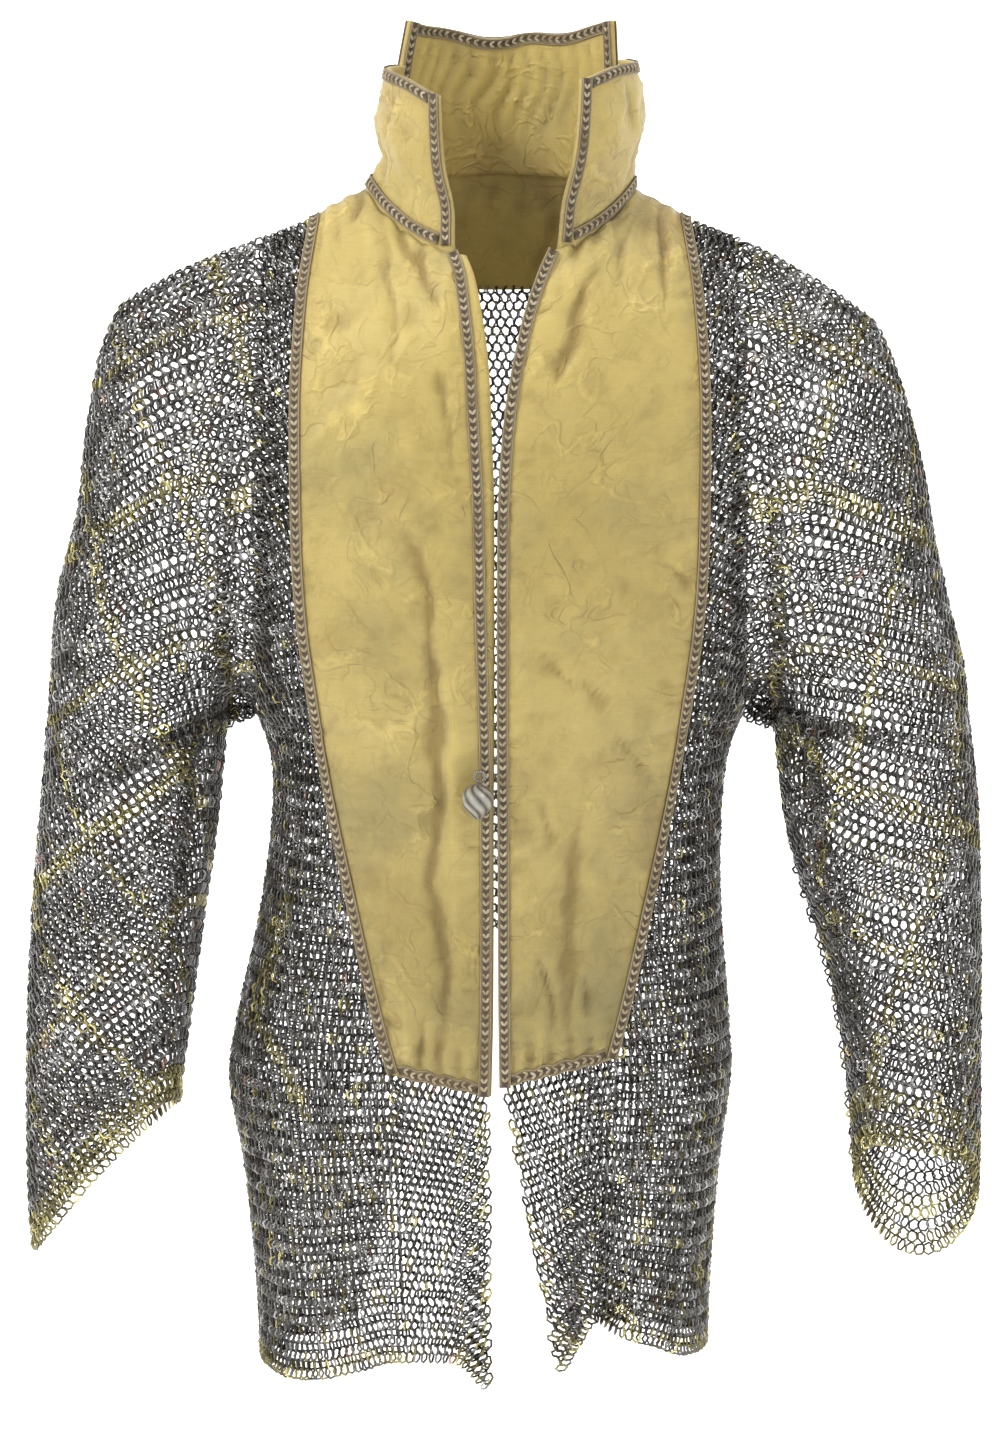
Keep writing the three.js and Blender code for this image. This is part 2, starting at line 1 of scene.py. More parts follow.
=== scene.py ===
# %% [markdown]
# # A mail shirt with silk fronts
# The CAD model fixes where every piece is. This script gives each piece its look: linked rings for the
# mail, crinkled silk for the fronts, yoke and collar, plaited braid for the edges, and a wrapped ball button.
# All sizes below are in millimetres until a mesh is made, because a maker thinks in millimetres.
# %% Load the frame
import bpy
import numpy as np
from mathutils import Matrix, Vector


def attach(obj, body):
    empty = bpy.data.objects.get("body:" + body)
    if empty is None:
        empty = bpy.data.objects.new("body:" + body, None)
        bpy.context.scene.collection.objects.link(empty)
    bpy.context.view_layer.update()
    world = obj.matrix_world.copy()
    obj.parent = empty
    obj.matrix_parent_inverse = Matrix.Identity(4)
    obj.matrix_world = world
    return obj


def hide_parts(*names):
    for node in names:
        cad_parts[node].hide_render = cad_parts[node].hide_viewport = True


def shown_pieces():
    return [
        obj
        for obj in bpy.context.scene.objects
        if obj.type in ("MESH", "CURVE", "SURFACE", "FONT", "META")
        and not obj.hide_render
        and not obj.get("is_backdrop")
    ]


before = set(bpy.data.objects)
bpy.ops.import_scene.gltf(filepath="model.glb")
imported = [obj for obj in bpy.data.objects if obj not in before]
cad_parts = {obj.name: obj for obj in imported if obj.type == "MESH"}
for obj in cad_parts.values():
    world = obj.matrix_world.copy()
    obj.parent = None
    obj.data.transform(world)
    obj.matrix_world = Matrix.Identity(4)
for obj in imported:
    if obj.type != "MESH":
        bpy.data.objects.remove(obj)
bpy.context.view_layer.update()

MM = 0.001
RNG = np.random.default_rng(7)

# %% [markdown]
# ## Camera
# The shirt is seen from the front and a little above, from far off, so that its sides hardly converge.
# A long lens at 5.5 m does that. The lens is worked out from the width that the picture should show.
# %% Camera
AIM = Vector((0, 0, -0.309))
CAMERA_DISTANCE = 5.5
CAMERA_ELEVATION = np.radians(9)
SHOWN_WIDTH = 0.650
SENSOR = 36

camera = bpy.data.objects.new("camera", bpy.data.cameras.new("camera"))
bpy.context.scene.collection.objects.link(camera)
camera.location = AIM + CAMERA_DISTANCE * Vector((0, -np.cos(CAMERA_ELEVATION), np.sin(CAMERA_ELEVATION)))
camera.rotation_euler = (np.pi / 2 - CAMERA_ELEVATION, 0, 0)
camera.data.sensor_fit = "HORIZONTAL"
camera.data.sensor_width = SENSOR
camera.data.lens = SENSOR * CAMERA_DISTANCE / SHOWN_WIDTH
bpy.context.scene.camera = camera
print("lens", round(camera.data.lens), "mm")

# %% [markdown]
# ## Soft studio
# Fine metal rings need broad lights, because a small light would give only sparks. Three large panels and
# a pale world do it. The floor rises into a backdrop in one curve, so that no line shows behind the shirt.
# %% Stage and lights
def new_material(name):
    """An empty node material with its output, and the functions to add a node and to join two."""
    material = bpy.data.materials.new(name)
    material.use_nodes = True
    nodes = material.node_tree.nodes
    nodes.clear()
    output = nodes.new("ShaderNodeOutputMaterial")
    return material, nodes, material.node_tree.links, output


def stage_floor():
    """A wide round floor that curves up into a wall all the way round. Its paper glows a little, more behind
    the shirt than in front of it, so that the front is lit mostly by the panels."""
    bend, around = np.meshgrid(np.r_[np.linspace(0, np.pi / 2, 12), np.pi / 2],
                               np.arange(64) * np.pi / 32, indexing="ij")
    flat, curve, down, wall = 16.0, 1.5, -1.35, 8.0
    out = flat + curve * np.sin(bend)
    z = down + curve * (1 - np.cos(bend))
    z[-1] += wall
    points = np.stack([out * np.cos(around), out * np.sin(around), z], axis=-1)
    index = np.arange(points[..., 0].size).reshape(bend.shape)
    following = np.roll(index, -1, axis=1)
    quads = np.stack([index[1:], following[1:], following[:-1], index[:-1]], axis=-1).reshape(-1, 4)
    mesh = bpy.data.meshes.new("stage_floor")
    mesh.from_pydata(points.reshape(-1, 3).tolist(), [], [index[0].tolist(), *quads.tolist()])
    mesh.shade_smooth()
    floor = bpy.data.objects.new("stage_floor", mesh)
    bpy.context.scene.collection.objects.link(floor)
    material, nodes, links, output = new_material("stage_paper")
    shader, place, axes, glow = (nodes.new("ShaderNode" + kind)
                                 for kind in ("BsdfPrincipled", "TexCoord", "SeparateXYZ", "MapRange"))
    shader.inputs["Base Color"].default_value = (0.93, 0.93, 0.94, 1)
    shader.inputs["Roughness"].default_value = 0.9
    shader.inputs["Emission Color"].default_value = (1.0, 1.0, 1.0, 1)
    for key, value in (("From Min", -3), ("From Max", 1.5), ("To Min", 0.12), ("To Max", 0.90)):
        glow.inputs[key].default_value = value
    links.new(place.outputs["Object"], axes.inputs[0])
    links.new(axes.outputs["Y"], glow.inputs["Value"])
    links.new(glow.outputs["Result"], shader.inputs["Emission Strength"])
    links.new(shader.outputs[0], output.inputs[0])
    mesh.materials.append(material)
    floor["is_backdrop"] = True


def panel_light(name, place, size, watts):
    """A square area light that looks at the shirt."""
    light = bpy.data.lights.new(name, "AREA")
    light.shape = "SQUARE"
    light.size = size
    light.energy = watts
    lamp = bpy.data.objects.new(name, light)
    lamp.location = place
    lamp.rotation_euler = (AIM - Vector(place)).to_track_quat("-Z", "Y").to_euler()
    bpy.context.scene.collection.objects.link(lamp)


stage_floor()
panel_light("key", (-2.7, -1.7, 2.1), 1.0, 84)
panel_light("fill", (2.2, -3.0, 0.8), 1.8, 27)
panel_light("top", (0.1, 0.2, 2.4), 1.6, 40)
world = bpy.data.worlds.new("pale_room")
world.use_nodes = True
world.node_tree.nodes["Background"].inputs["Color"].default_value = (0.97, 0.98, 1.0, 1)
world.node_tree.nodes["Background"].inputs["Strength"].default_value = 0.42
bpy.context.scene.world = world
bpy.context.scene.view_settings.view_transform = "Standard"
print("stage and three lights")

# %% [markdown]
# ## The worn form
# The shirt keeps the shape of a wearer's shoulders and hips. That shape is one formula: how far the front or
# the back stands from the middle plane at a place (x, z). Every panel of mail and silk is a part of it, so the
# pieces meet without fitting. The numbers are the same driving sizes as in the CAD model.
# %% Sizes of the worn form
ARM_X, ARM_Z, ARM_DEPTH = 155, -305, 82
SHOULDER_DROP = 160
VENT_TOP = -468
SEAM_HALF, NECK_HALF = 122, 86
HALF_WIDTH = [[-740, 144], [-680, 146], [-604, 152.5], [-545, 161], [-503, 157], [-442, 148],
              [-388, 143.5], [-346, 143.8], [-325, 147.4], [ARM_Z, ARM_X]]
CENTRE_X = [[-740, -10.5], [-604, -12], [-545, -13], [-442, -6.5], [-388, -3], [-346, -0.8],
            [ARM_Z, 0]]
FRONT_DEPTH = [[-740, 98], [-604, 104], [-545, 108], [-442, 102], [-388, 100], [ARM_Z, 107],
               [-220, 112], [-140, 111], [60, 104]]
BACK_DEPTH = [[-740, 108], [-604, 113], [-545, 110], [-442, 90], [-388, 85], [ARM_Z, 97],
              [-200, 107], [-100, 105], [60, 100]]
FRONT_RIDGE = [[0, 55], [28, 51], [60, 41], [NECK_HALF, 32], [SEAM_HALF, 13], [ARM_X, 0]]
BACK_RIDGE = [[0, 96], [40, 79], [70, 49], [NECK_HALF, 32], [SEAM_HALF, 13], [ARM_X, 0]]
NECK_FRONT = [[26, -3], [45, 2], [60, 9], [75, 20], [NECK_HALF, 32]]
NECK_BACK = [[0, 38], [45, 37], [70, 34.5], [NECK_HALF, 32]]
SILK_OUTER = [[-530, 71], [-488, 82.5], [-418, 98], [-348, 112], [-284, 122.5], [-238, 129],
              [-187, 132.5], [-98, 133.5], [-55, 131.5], [-20, 128], [13, SEAM_HALF]]
OPENING = {
    "right": [[-540, -5.5], [-480, -4.2], [-349, -3.9], [-312, -3.6], [-220, -3.5], [-157, -3.6],
              [-117, -4.8], [-91, -5.9], [-65, -7.5], [-39, -11], [-14, -16.4], [0, -22.8]],
    "left": [[-540, -0.4], [-480, -1.2], [-354, -1.8], [-289, -2.2], [-199, -2], [-157, -1.4],
             [-117, 1], [-91, 3.8], [-65, 8.6], [-39, 14.7], [-14, 23.6], [0, 30.5]],
}
FACING = [[-540, 1.2], [-349, 1.4], [-312, 2.4], [-220, 5.4], [-157, 6.6], [-91, 8], [-39, 7.2], [0, 4]]
SKIRT_EDGE = {
    "right": [[-740, -5], [-640, -6], [-540, -6.5]],
    "left": [[-740, 41], [-683, 29], [-631, 18], [-590, 11], [-535, 1.5]],
}
HEM_FRONT = [[-156, -734], [-135, -737], [-92, -727], [-70, -717], [-34, -717], [-22, -721], [-5, -738],
             [36, -728], [50, -711], [62, -697], [75, -702], [100, -711], [118, -722], [138, -726]]
HEM_BACK = [[-160, -734], [-95, -738], [-60, -732], [0, -730], [60, -734], [140, -726]]
VENT_EDGE = {
    "right": [[-740, -97], [-594, -57], [-520, -24], [VENT_TOP, -1.5]],
    "left": [[-740, 60], [-594, 50], [-520, 22], [VENT_TOP, 1.5]],
}
SILK_BOTTOM = {"right": (-540, -526), "left": (-534, -517)}
SIDES = {"right": -1, "left": 1}
print("tables", 15)


# %% The formula of the worn form
def along(table, place):
    """Smooth value of a table of (place, value) rows: cubic pieces, with the mean slope at each row."""
    x, y = np.array(table, float).T
    slope = np.r_[(y[1] - y[0]) / (x[1] - x[0]), (y[2:] - y[:-2]) / (x[2:] - x[:-2]),
                  (y[-1] - y[-2]) / (x[-1] - x[-2])]
    p = np.clip(place, x[0], x[-1])
    i = np.clip(np.searchsorted(x, p, side="right") - 1, 0, len(x) - 2)
    h = x[i + 1] - x[i]
    t = (p - x[i]) / h
    rest = 1 - t
    return (y[i] * rest**2 * (1 + 2 * t) + y[i + 1] * t**2 * (3 - 2 * t)
            + h * t * rest * (slope[i] * rest - slope[i + 1] * t))


def mix(a, b, t):
    """The value a share t of the way from a to b."""
    return a + (b - a) * t


def ease(t):
    """A smooth step from 0 to 1: three t squared less two t cubed."""
    t = np.clip(t, 0, 1)
    return t * t * (3 - 2 * t)


def bump(x, middle, width):
    """A soft hump of height 1: e to the minus the square of the distance over the width."""
    return np.exp(-(((x - middle) / width) ** 2))


def folds(face, x, z):
    """Hanging folds of the skirts: humps and troughs across, which grow towards the hem."""
    grow = ease((-520 - z) / 160)
    if face < 0:
        return grow * (-24 * bump(x, 60, 13) + 9 * bump(x, 30, 14) + 7 * bump(x, 96, 20)
                       - 7 * bump(x, -92, 16) + 7 * bump(x, -60, 18))
    return grow * (9 * bump(x, 62, 14) - 8 * bump(x, 96, 18) + 8 * bump(x, -100, 16) - 8 * bump(x, -128, 14))


def ridge(face, x):
    """Height of the shoulder line at x."""
    return along(FRONT_RIDGE if face < 0 else BACK_RIDGE, np.abs(x))


def depth(face, x, z):
    """Distance of the front (face -1) or back (face 1) from the middle plane: a rounded box across each
    level, with the armhole's depth at its edges, and a rounded fall to nothing at the shoulder line."""
    under = np.clip((ridge(face, x) - z) / SHOULDER_DROP, 0, 1)
    rounded = (1 - (1 - under) ** 2) ** 0.8
    above = np.clip((z - ARM_Z) / 130, 0, 1)
    edge = ARM_DEPTH * rounded * np.sqrt(1 - (1 - above) ** 2)
    full = along(FRONT_DEPTH if face < 0 else BACK_DEPTH, z) * rounded
    soft = ease((z - ARM_Z) / 185)
    half = np.where(z < ARM_Z, along(HALF_WIDTH, z), ARM_X)
    t = np.clip(np.abs(x - along(CENTRE_X, z)) / half, 0, 1)
    across = (1 - t ** mix(2.4, 2, soft)) ** mix(1 / 2.4, 1, soft)
    return edge + (full - edge + folds(face, x, z)) * across


def side_x(side, z):
    """Distance of the side seam, and above the underarm of the armhole, from the middle."""
    return np.where(z < ARM_Z, along(CENTRE_X, z) + side * along(HALF_WIDTH, z), side * ARM_X)


def form_points(face, x, z):
    """Points on the worn form at places (x, z)."""
    return np.stack([x, face * depth(face, x, z), z], axis=-1)


def unit(vectors):
    """Vectors of length 1."""
    return vectors / np.maximum(np.linalg.norm(vectors, axis=-1, keepdims=True), 1e-9)


def form_normals(face, x, z):
    """Outward normals of the worn form, from the slopes of its depth."""
    h = 0.5
    across = (depth(face, x + h, z) - depth(face, x - h, z)) / (2 * h)
    up = (depth(face, x, z + h) - depth(face, x, z - h)) / (2 * h)
    return unit(np.stack([-across, np.full_like(across, face), -up], axis=-1))


def places(x_at, bottom, top, columns, rows):
    """Grid of places (x, z): columns from a bottom edge to a top edge. An edge's height depends on x, and x
    depends on the height, so the two are worked out in turn until they agree."""
    u = np.linspace(0, 1, columns)[None, :]
    v = np.asarray(rows)[:, None]
    z = np.zeros((v.size, columns)) + mix(bottom(x_at(u, -400.0)), top(x_at(u, -100.0)), v)
    for _ in range(14):
        x = x_at(u, z)
        z = mix(bottom(x), top(x), v)
    return x_at(u, z), z


def distance_to_line(x, z, line):
    """Distance of each place from a line of straight pieces, and how far along it the nearest point is."""
    nearest, share = np.full(np.shape(x), 1e9), np.zeros(np.shape(x))
    pieces = list(zip(line[:-1], line[1:]))
    for i, ((ax, az), (bx, bz)) in enumerate(pieces):
        t = np.clip(((x - ax) * (bx - ax) + (z - az) * (bz - az)) / ((bx - ax) ** 2 + (bz - az) ** 2), 0, 1)
        away = np.hypot(x - mix(ax, bx, t), z - mix(az, bz, t))
        closer = away < nearest
        nearest, share = np.where(closer, away, nearest), np.where(closer, (i + t) / len(pieces), share)
    return nearest, share


print("depth at the chest", round(float(depth(-1, np.array(60.0), np.array(-150.0))), 1), "mm")

# %% [markdown]
# ## Linked rings
# Each ring passes through four others. Rings of one row all lean one way, and the next row leans the other way
# and is set half a ring along, so that every ring goes through two above and two below. A ring could be a torus
# that is copied as an object, but tens of thousands of objects are slow. Here every ring of a panel is worked
# out at once as one numpy array, and becomes one mesh. A ring is six short rods with a three-sided section,
# smooth shaded: small enough to repeat, and round enough at its real size.
# %% Lay rows and rings
RING_RADIUS = 3.8
WIRE_RADIUS = 0.92
RING_STEPS = 6
BACK_RING_STEPS = 5
WIRE_SIDES = 3
ROW_SPACING = 5.85


def even_rows(grid, spacing):
    """Rows at equal distances up the grid: each column is measured along its own length."""
    steps = np.linalg.norm(np.diff(grid, axis=0), axis=-1)
    length = np.vstack([np.zeros(grid.shape[1]), np.cumsum(steps, axis=0)])
    count = int(round(length[-1].mean() / spacing))
    share = (np.arange(count) + 0.6) / (count + 0.2)
    columns = [np.stack([np.interp(share * length[-1, j], length[:, j], grid[:, j, k]) for k in range(3)], axis=-1)
               for j in range(grid.shape[1])]
    return np.stack(columns, axis=1)


def grid_normals(grid, outward):
    """Normals of a grid of points, turned to the side that outward points to."""
    normal = unit(np.cross(np.gradient(grid, axis=1), np.gradient(grid, axis=0)))
    return normal * np.sign(np.sum(normal * outward, axis=-1, keepdims=True) + 1e-9)


def lay_rings(rows, normals, pitch, lean, anchor, phase=0.0, parity=0, margin=1.6):
    """Rings along each row, a pitch apart. From row to row the rings are carried straight across, square to
    the row, and moved half a pitch, starting at the anchor column."""
    found = []
    for k, (line, normal) in enumerate(zip(rows, normals)):
        steps = np.linalg.norm(np.diff(line, axis=0), axis=-1)
        run = np.r_[0, np.cumsum(steps)]
        tangent = unit(np.gradient(line, axis=0))
        if k:
            moved = np.dot(line[anchor] - rows[k - 1][anchor], before)
            phase += moved / pitch + 0.5
        before = tangent[anchor]
        first = np.ceil((margin - run[anchor]) / pitch + phase)
        last = np.floor((run[-1] - margin - run[anchor]) / pitch + phase)
        at = run[anchor] + (np.arange(first, last + 1) - phase) * pitch
        if not at.size:
            continue
        pick = [np.stack([np.interp(at, run, field[:, i]) for i in range(3)], axis=-1)
                for field in (line, tangent, normal)]
        turn = np.full(at.size, lean * (1 if (k + parity) % 2 else -1))
        column = (np.arange(first, last + 1) - 0.5 * k) * pitch
        found.append([*pick, turn, np.full(at.size, k), column, np.full(at.size, len(rows) - 1 - k)])
    names = ("centre", "tangent", "normal", "lean", "row", "column", "from_top")
    rings = {name: np.concatenate([row[i] for row in found]) for i, name in enumerate(names)}
    return rings, phase + 0.5, parity + len(rows)


def keep(rings, mask):
    """The rings for which the mask is true."""
    return {name: values[mask] for name, values in rings.items()}


def new_object(name, mesh, material):
    """Puts a mesh in the scene as a piece that rides on the shirt."""
    piece = bpy.data.objects.new(name, mesh)
    bpy.context.scene.collection.objects.link(piece)
    mesh.materials.append(material)
    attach(piece, "root")
    return piece


def poly_mesh(name, points, *groups):
    """A mesh from an array of points in millimetres and arrays of faces, each array of one number of sides."""
    loops = np.concatenate([group.ravel() for group in groups])
    sides = np.concatenate([np.full(len(group), group.shape[1]) for group in groups])
    mesh = bpy.data.meshes.new(name)
    mesh.vertices.add(len(points))
    mesh.vertices.foreach_set("co", (points * MM).astype(np.float32).ravel())
    mesh.loops.add(loops.size)
    mesh.loops.foreach_set("vertex_index", loops.astype(np.int32))
    mesh.polygons.add(len(sides))
    mesh.polygons.foreach_set("loop_start", np.r_[0, np.cumsum(sides)[:-1]].astype(np.int32))
    mesh.update(calc_edges=True)
    mesh.validate()
    mesh.shade_smooth()
    return mesh


def point_attribute(mesh, name, values):
    """A number for each vertex, which materials read by name."""
    mesh.attributes.new(name, "FLOAT", "POINT").data.foreach_set("value", values.astype(np.float32))


def ring_mesh(name, rings, metal, steps):
    """One mesh of all rings. A ring's point is its centre, plus the ring radius and a step of wire along a
    direction that turns round in the ring's plane, plus a step of wire along the ring's own axis."""
    count = len(rings["centre"])
    normal, tangent = rings["normal"], rings["tangent"]
    up = unit(np.cross(normal, tangent))
    up *= np.sign(up[:, 2:3] + 1e-9)
    angle = np.radians(rings["lean"] + RNG.normal(0, 4.0, count))[:, None]
    nod = np.radians(RNG.normal(0, 5.0, count))[:, None]
    axis = np.cos(angle) * normal + np.sin(angle) * tangent
    upright = unit(np.cos(nod) * up + np.sin(nod) * axis)
    axis = unit(axis - np.sum(axis * upright, axis=-1, keepdims=True) * upright)
    beside = np.cross(axis, upright)
    turn = np.arange(steps) * 2 * np.pi / steps
    turn = turn[None, :] + RNG.uniform(0, 2 * np.pi / steps, count)[:, None]
    outward = (np.cos(turn)[..., None] * upright[:, None] + np.sin(turn)[..., None] * beside[:, None])
    wire = np.arange(WIRE_SIDES) * 2 * np.pi / WIRE_SIDES
    radius = RING_RADIUS * (1 + RNG.normal(0, 0.02, count))[:, None, None, None]
    reach = radius + (WIRE_RADIUS * np.cos(wire))[None, None, :, None]
    points = (rings["centre"][:, None, None] + outward[:, :, None] * reach
              + axis[:, None, None] * (WIRE_RADIUS * np.sin(wire))[None, None, :, None])
    i, j = np.meshgrid(np.arange(steps), np.arange(WIRE_SIDES), indexing="ij")
    at = lambda a, b: (a % steps) * WIRE_SIDES + b % WIRE_SIDES
    one = np.stack([at(i, j), at(i, j + 1), at(i + 1, j + 1), at(i + 1, j)], axis=-1).reshape(-1, 4)
    per_ring = steps * WIRE_SIDES
    quads = (one[None] + (np.arange(count) * per_ring)[:, None, None]).reshape(-1, 4)
    mesh = poly_mesh(name, points.reshape(-1, 3), quads)
    point_attribute(mesh, "metal", np.repeat(metal, per_ring))
    point_attribute(mesh, "tone", np.repeat(RNG.uniform(0, 1, count), per_ring))
    return mesh


print("a front ring has", RING_STEPS * WIRE_SIDES * 2, "triangles")

# %% [markdown]
# ## Finish of the metal
# The rings are worn iron. Some are brass, set in a lattice of diamonds on the sleeves and in rows at the cuffs, and
# a few are copper. Each ring carries two numbers: which metal it is, and a tone of its own. The material reads
# both, and adds a film of brown dirt that gathers in patches.
# %% Shared node group for uneven wear
def patches_group():
    """Two sizes of cloudy patches, each from 0 to 1, at a scale and a sharpness."""
    group = bpy.data.node_groups.new("uneven_patches", "ShaderNodeTree")
    group.interface.new_socket("Scale", in_out="INPUT", socket_type="NodeSocketFloat")
    group.interface.new_socket("Low", in_out="INPUT", socket_type="NodeSocketFloat")
    group.interface.new_socket("High", in_out="INPUT", socket_type="NodeSocketFloat")
    group.interface.new_socket("Mask", in_out="OUTPUT", socket_type="NodeSocketFloat")
    nodes, links = group.nodes, group.links
    given, out = nodes.new("NodeGroupInput"), nodes.new("NodeGroupOutput")
    place = nodes.new("ShaderNodeTexCoord")
    noise = nodes.new("ShaderNodeTexNoise")
    noise.inputs["Detail"].default_value = 5
    noise.inputs["Roughness"].default_value = 0.62
    spread = nodes.new("ShaderNodeMapRange")
    links.new(place.outputs["Object"], noise.inputs["Vector"])
    links.new(given.outputs["Scale"], noise.inputs["Scale"])
    links.new(noise.outputs["Fac"], spread.inputs["Value"])
    links.new(given.outputs["Low"], spread.inputs["From Min"])
    links.new(given.outputs["High"], spread.inputs["From Max"])
    links.new(spread.outputs["Result"], out.inputs["Mask"])
    return group


PATCHES = patches_group()


def patches(nodes, scale, low, high):
    """One use of the patches group with its own values."""
    node = nodes.new("ShaderNodeGroup")
    node.node_tree = PATCHES
    for name, value in (("Scale", scale), ("Low", low), ("High", high)):
        node.inputs[name].default_value = value
    return node.outputs["Mask"]


def ramp(nodes, links, value, stops, interpolation="LINEAR"):
    """A colour ramp through the stops (place, colour)."""
    node = nodes.new("ShaderNodeValToRGB")
    node.color_ramp.interpolation = interpolation
    elements = node.color_ramp.elements
    while len(elements) < len(stops):
        elements.new(0.5)
    for element, (place, colour) in zip(elements, stops):
        element.position = place
        element.color = (*colour, 1)
    links.new(value, node.inputs["Fac"])
    return node.outputs["Color"]


def blend_colours(nodes, links, share, first, second, how="MIX"):
    """Mixes two colours by a share, each a socket or a plain colour."""
    node = nodes.new("ShaderNodeMix")
    node.data_type = "RGBA"
    node.blend_type = how
    for socket, value in ((node.inputs[0], share), (node.inputs[6], first), (node.inputs[7], second)):
        if isinstance(value, bpy.types.NodeSocket):
            links.new(value, socket)
        elif isinstance(value, tuple):
            socket.default_value = (*value, 1)
        else:
            socket.default_value = value
    return node.outputs[2]


# %% Metal of the rings
IRON = (0.17, 0.166, 0.155)
BRASS = (0.30, 0.265, 0.105)
COPPER = (0.22, 0.13, 0.095)
DIRT = (0.050, 0.042, 0.032)


def ring_metal():
    """Worn metal whose colour comes from each ring's metal and tone numbers."""
    material, nodes, links, output = new_material("worn_ring_metal")
    shader = nodes.new("ShaderNodeBsdfPrincipled")
    metal, tone = nodes.new("ShaderNodeAttribute"), nodes.new("ShaderNodeAttribute")
    metal.attribute_name, tone.attribute_name = "metal", "tone"
    colour = ramp(nodes, links, metal.outputs["Fac"], [(0, IRON), (0.3, BRASS), (0.8, COPPER)], "CONSTANT")
    shade = ramp(nodes, links, tone.outputs["Fac"], 
                 [(0, (0.35, 0.33, 0.30)), (0.55, (0.9, 0.9, 0.9)), (0.85, (1.7, 1.7, 1.72)), (1, (3.0, 3.0, 3.1))])
    colour = blend_colours(nodes, links, 1.0, colour, shade, "MULTIPLY")
    film = patches(nodes, 38, 0.46, 0.80)
    colour = blend_colours(nodes, links, film, colour, DIRT)
    links.new(colour, shader.inputs["Base Color"])
    rough = nodes.new("ShaderNodeMapRange")
    rough.inputs["To Min"].default_value = 0.24
    rough.inputs["To Max"].default_value = 0.55
    links.new(film, rough.inputs["Value"])
    links.new(rough.outputs["Result"], shader.inputs["Roughness"])
    shader.inputs["Metallic"].default_value = 0.92
    pits = nodes.new("ShaderNodeBump")
    pits.inputs["Distance"].default_value = 0.0003
    pits.inputs["Strength"].default_value = 0.5
    links.new(patches(nodes, 900, 0.3, 0.7), pits.inputs["Height"])
    links.new(pits.outputs["Normal"], shader.inputs["Normal"])
    links.new(shader.outputs[0], output.inputs[0])
    return material


MAIL = ring_metal()
print("material", MAIL.name)

# %% [markdown]
# ## Mail of the body
# The body's rows run level round the wearer. Worn, the mail stretches downwards and draws in sideways, so its rings
# stand nearly edge-on and close together in front. The back hangs a little more open. A few rings are brass.
# %% Body panels
FRONT_PITCH, FRONT_LEAN = 4.7, 52
BACK_PITCH, BACK_LEAN = 5.9, 34
HIP_LINE = [[-136, -422], [-154, -481], [-154, -501], [-130, -547], [-123, -560]]
TO_TOP = np.sin(np.linspace(0, np.pi / 2, 150))
EVENLY = np.linspace(0, 1, 90)


def scattered(count, share=0.05, copper=0.006):
    """Metal numbers: mostly iron 0, with some brass 0.5 and copper 1 at random."""
    draw = RNG.uniform(0, 1, count)
    return np.where(draw < copper, 1.0, np.where(draw < copper + share, 0.5, 0.0))


def mail_piece(node, rings, metal, steps=RING_STEPS):
    """Makes the mesh of a mail panel, which stands for its CAD node, and hides that node."""
    piece = new_object(node + "_rings", ring_mesh(node + "_rings", rings, metal, steps), MAIL)
    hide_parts(node)
    return piece


def body_rows(face, x_at, bottom, top, shares):
    """Even rows and their normals on the worn form between two edges."""
    grid = form_points(face, *places(x_at, bottom, top, 90, shares))
    rows = even_rows(grid, ROW_SPACING)
    outward = np.zeros_like(rows)
    outward[..., 1] = face
    outward[..., 2] = np.clip((rows[..., 2] + 40) / 40, 0, 1)
    return rows, grid_normals(rows, outward)


def hip_line(rings, metal):
    """The metal numbers with one chain of brass that curves over the wearer's right hip."""
    away, _ = distance_to_line(rings["centre"][:, 0], rings["centre"][:, 2], HIP_LINE)
    return np.where((away < 3.4) & (RNG.uniform(0, 1, len(metal)) < 0.8), 0.5, metal)


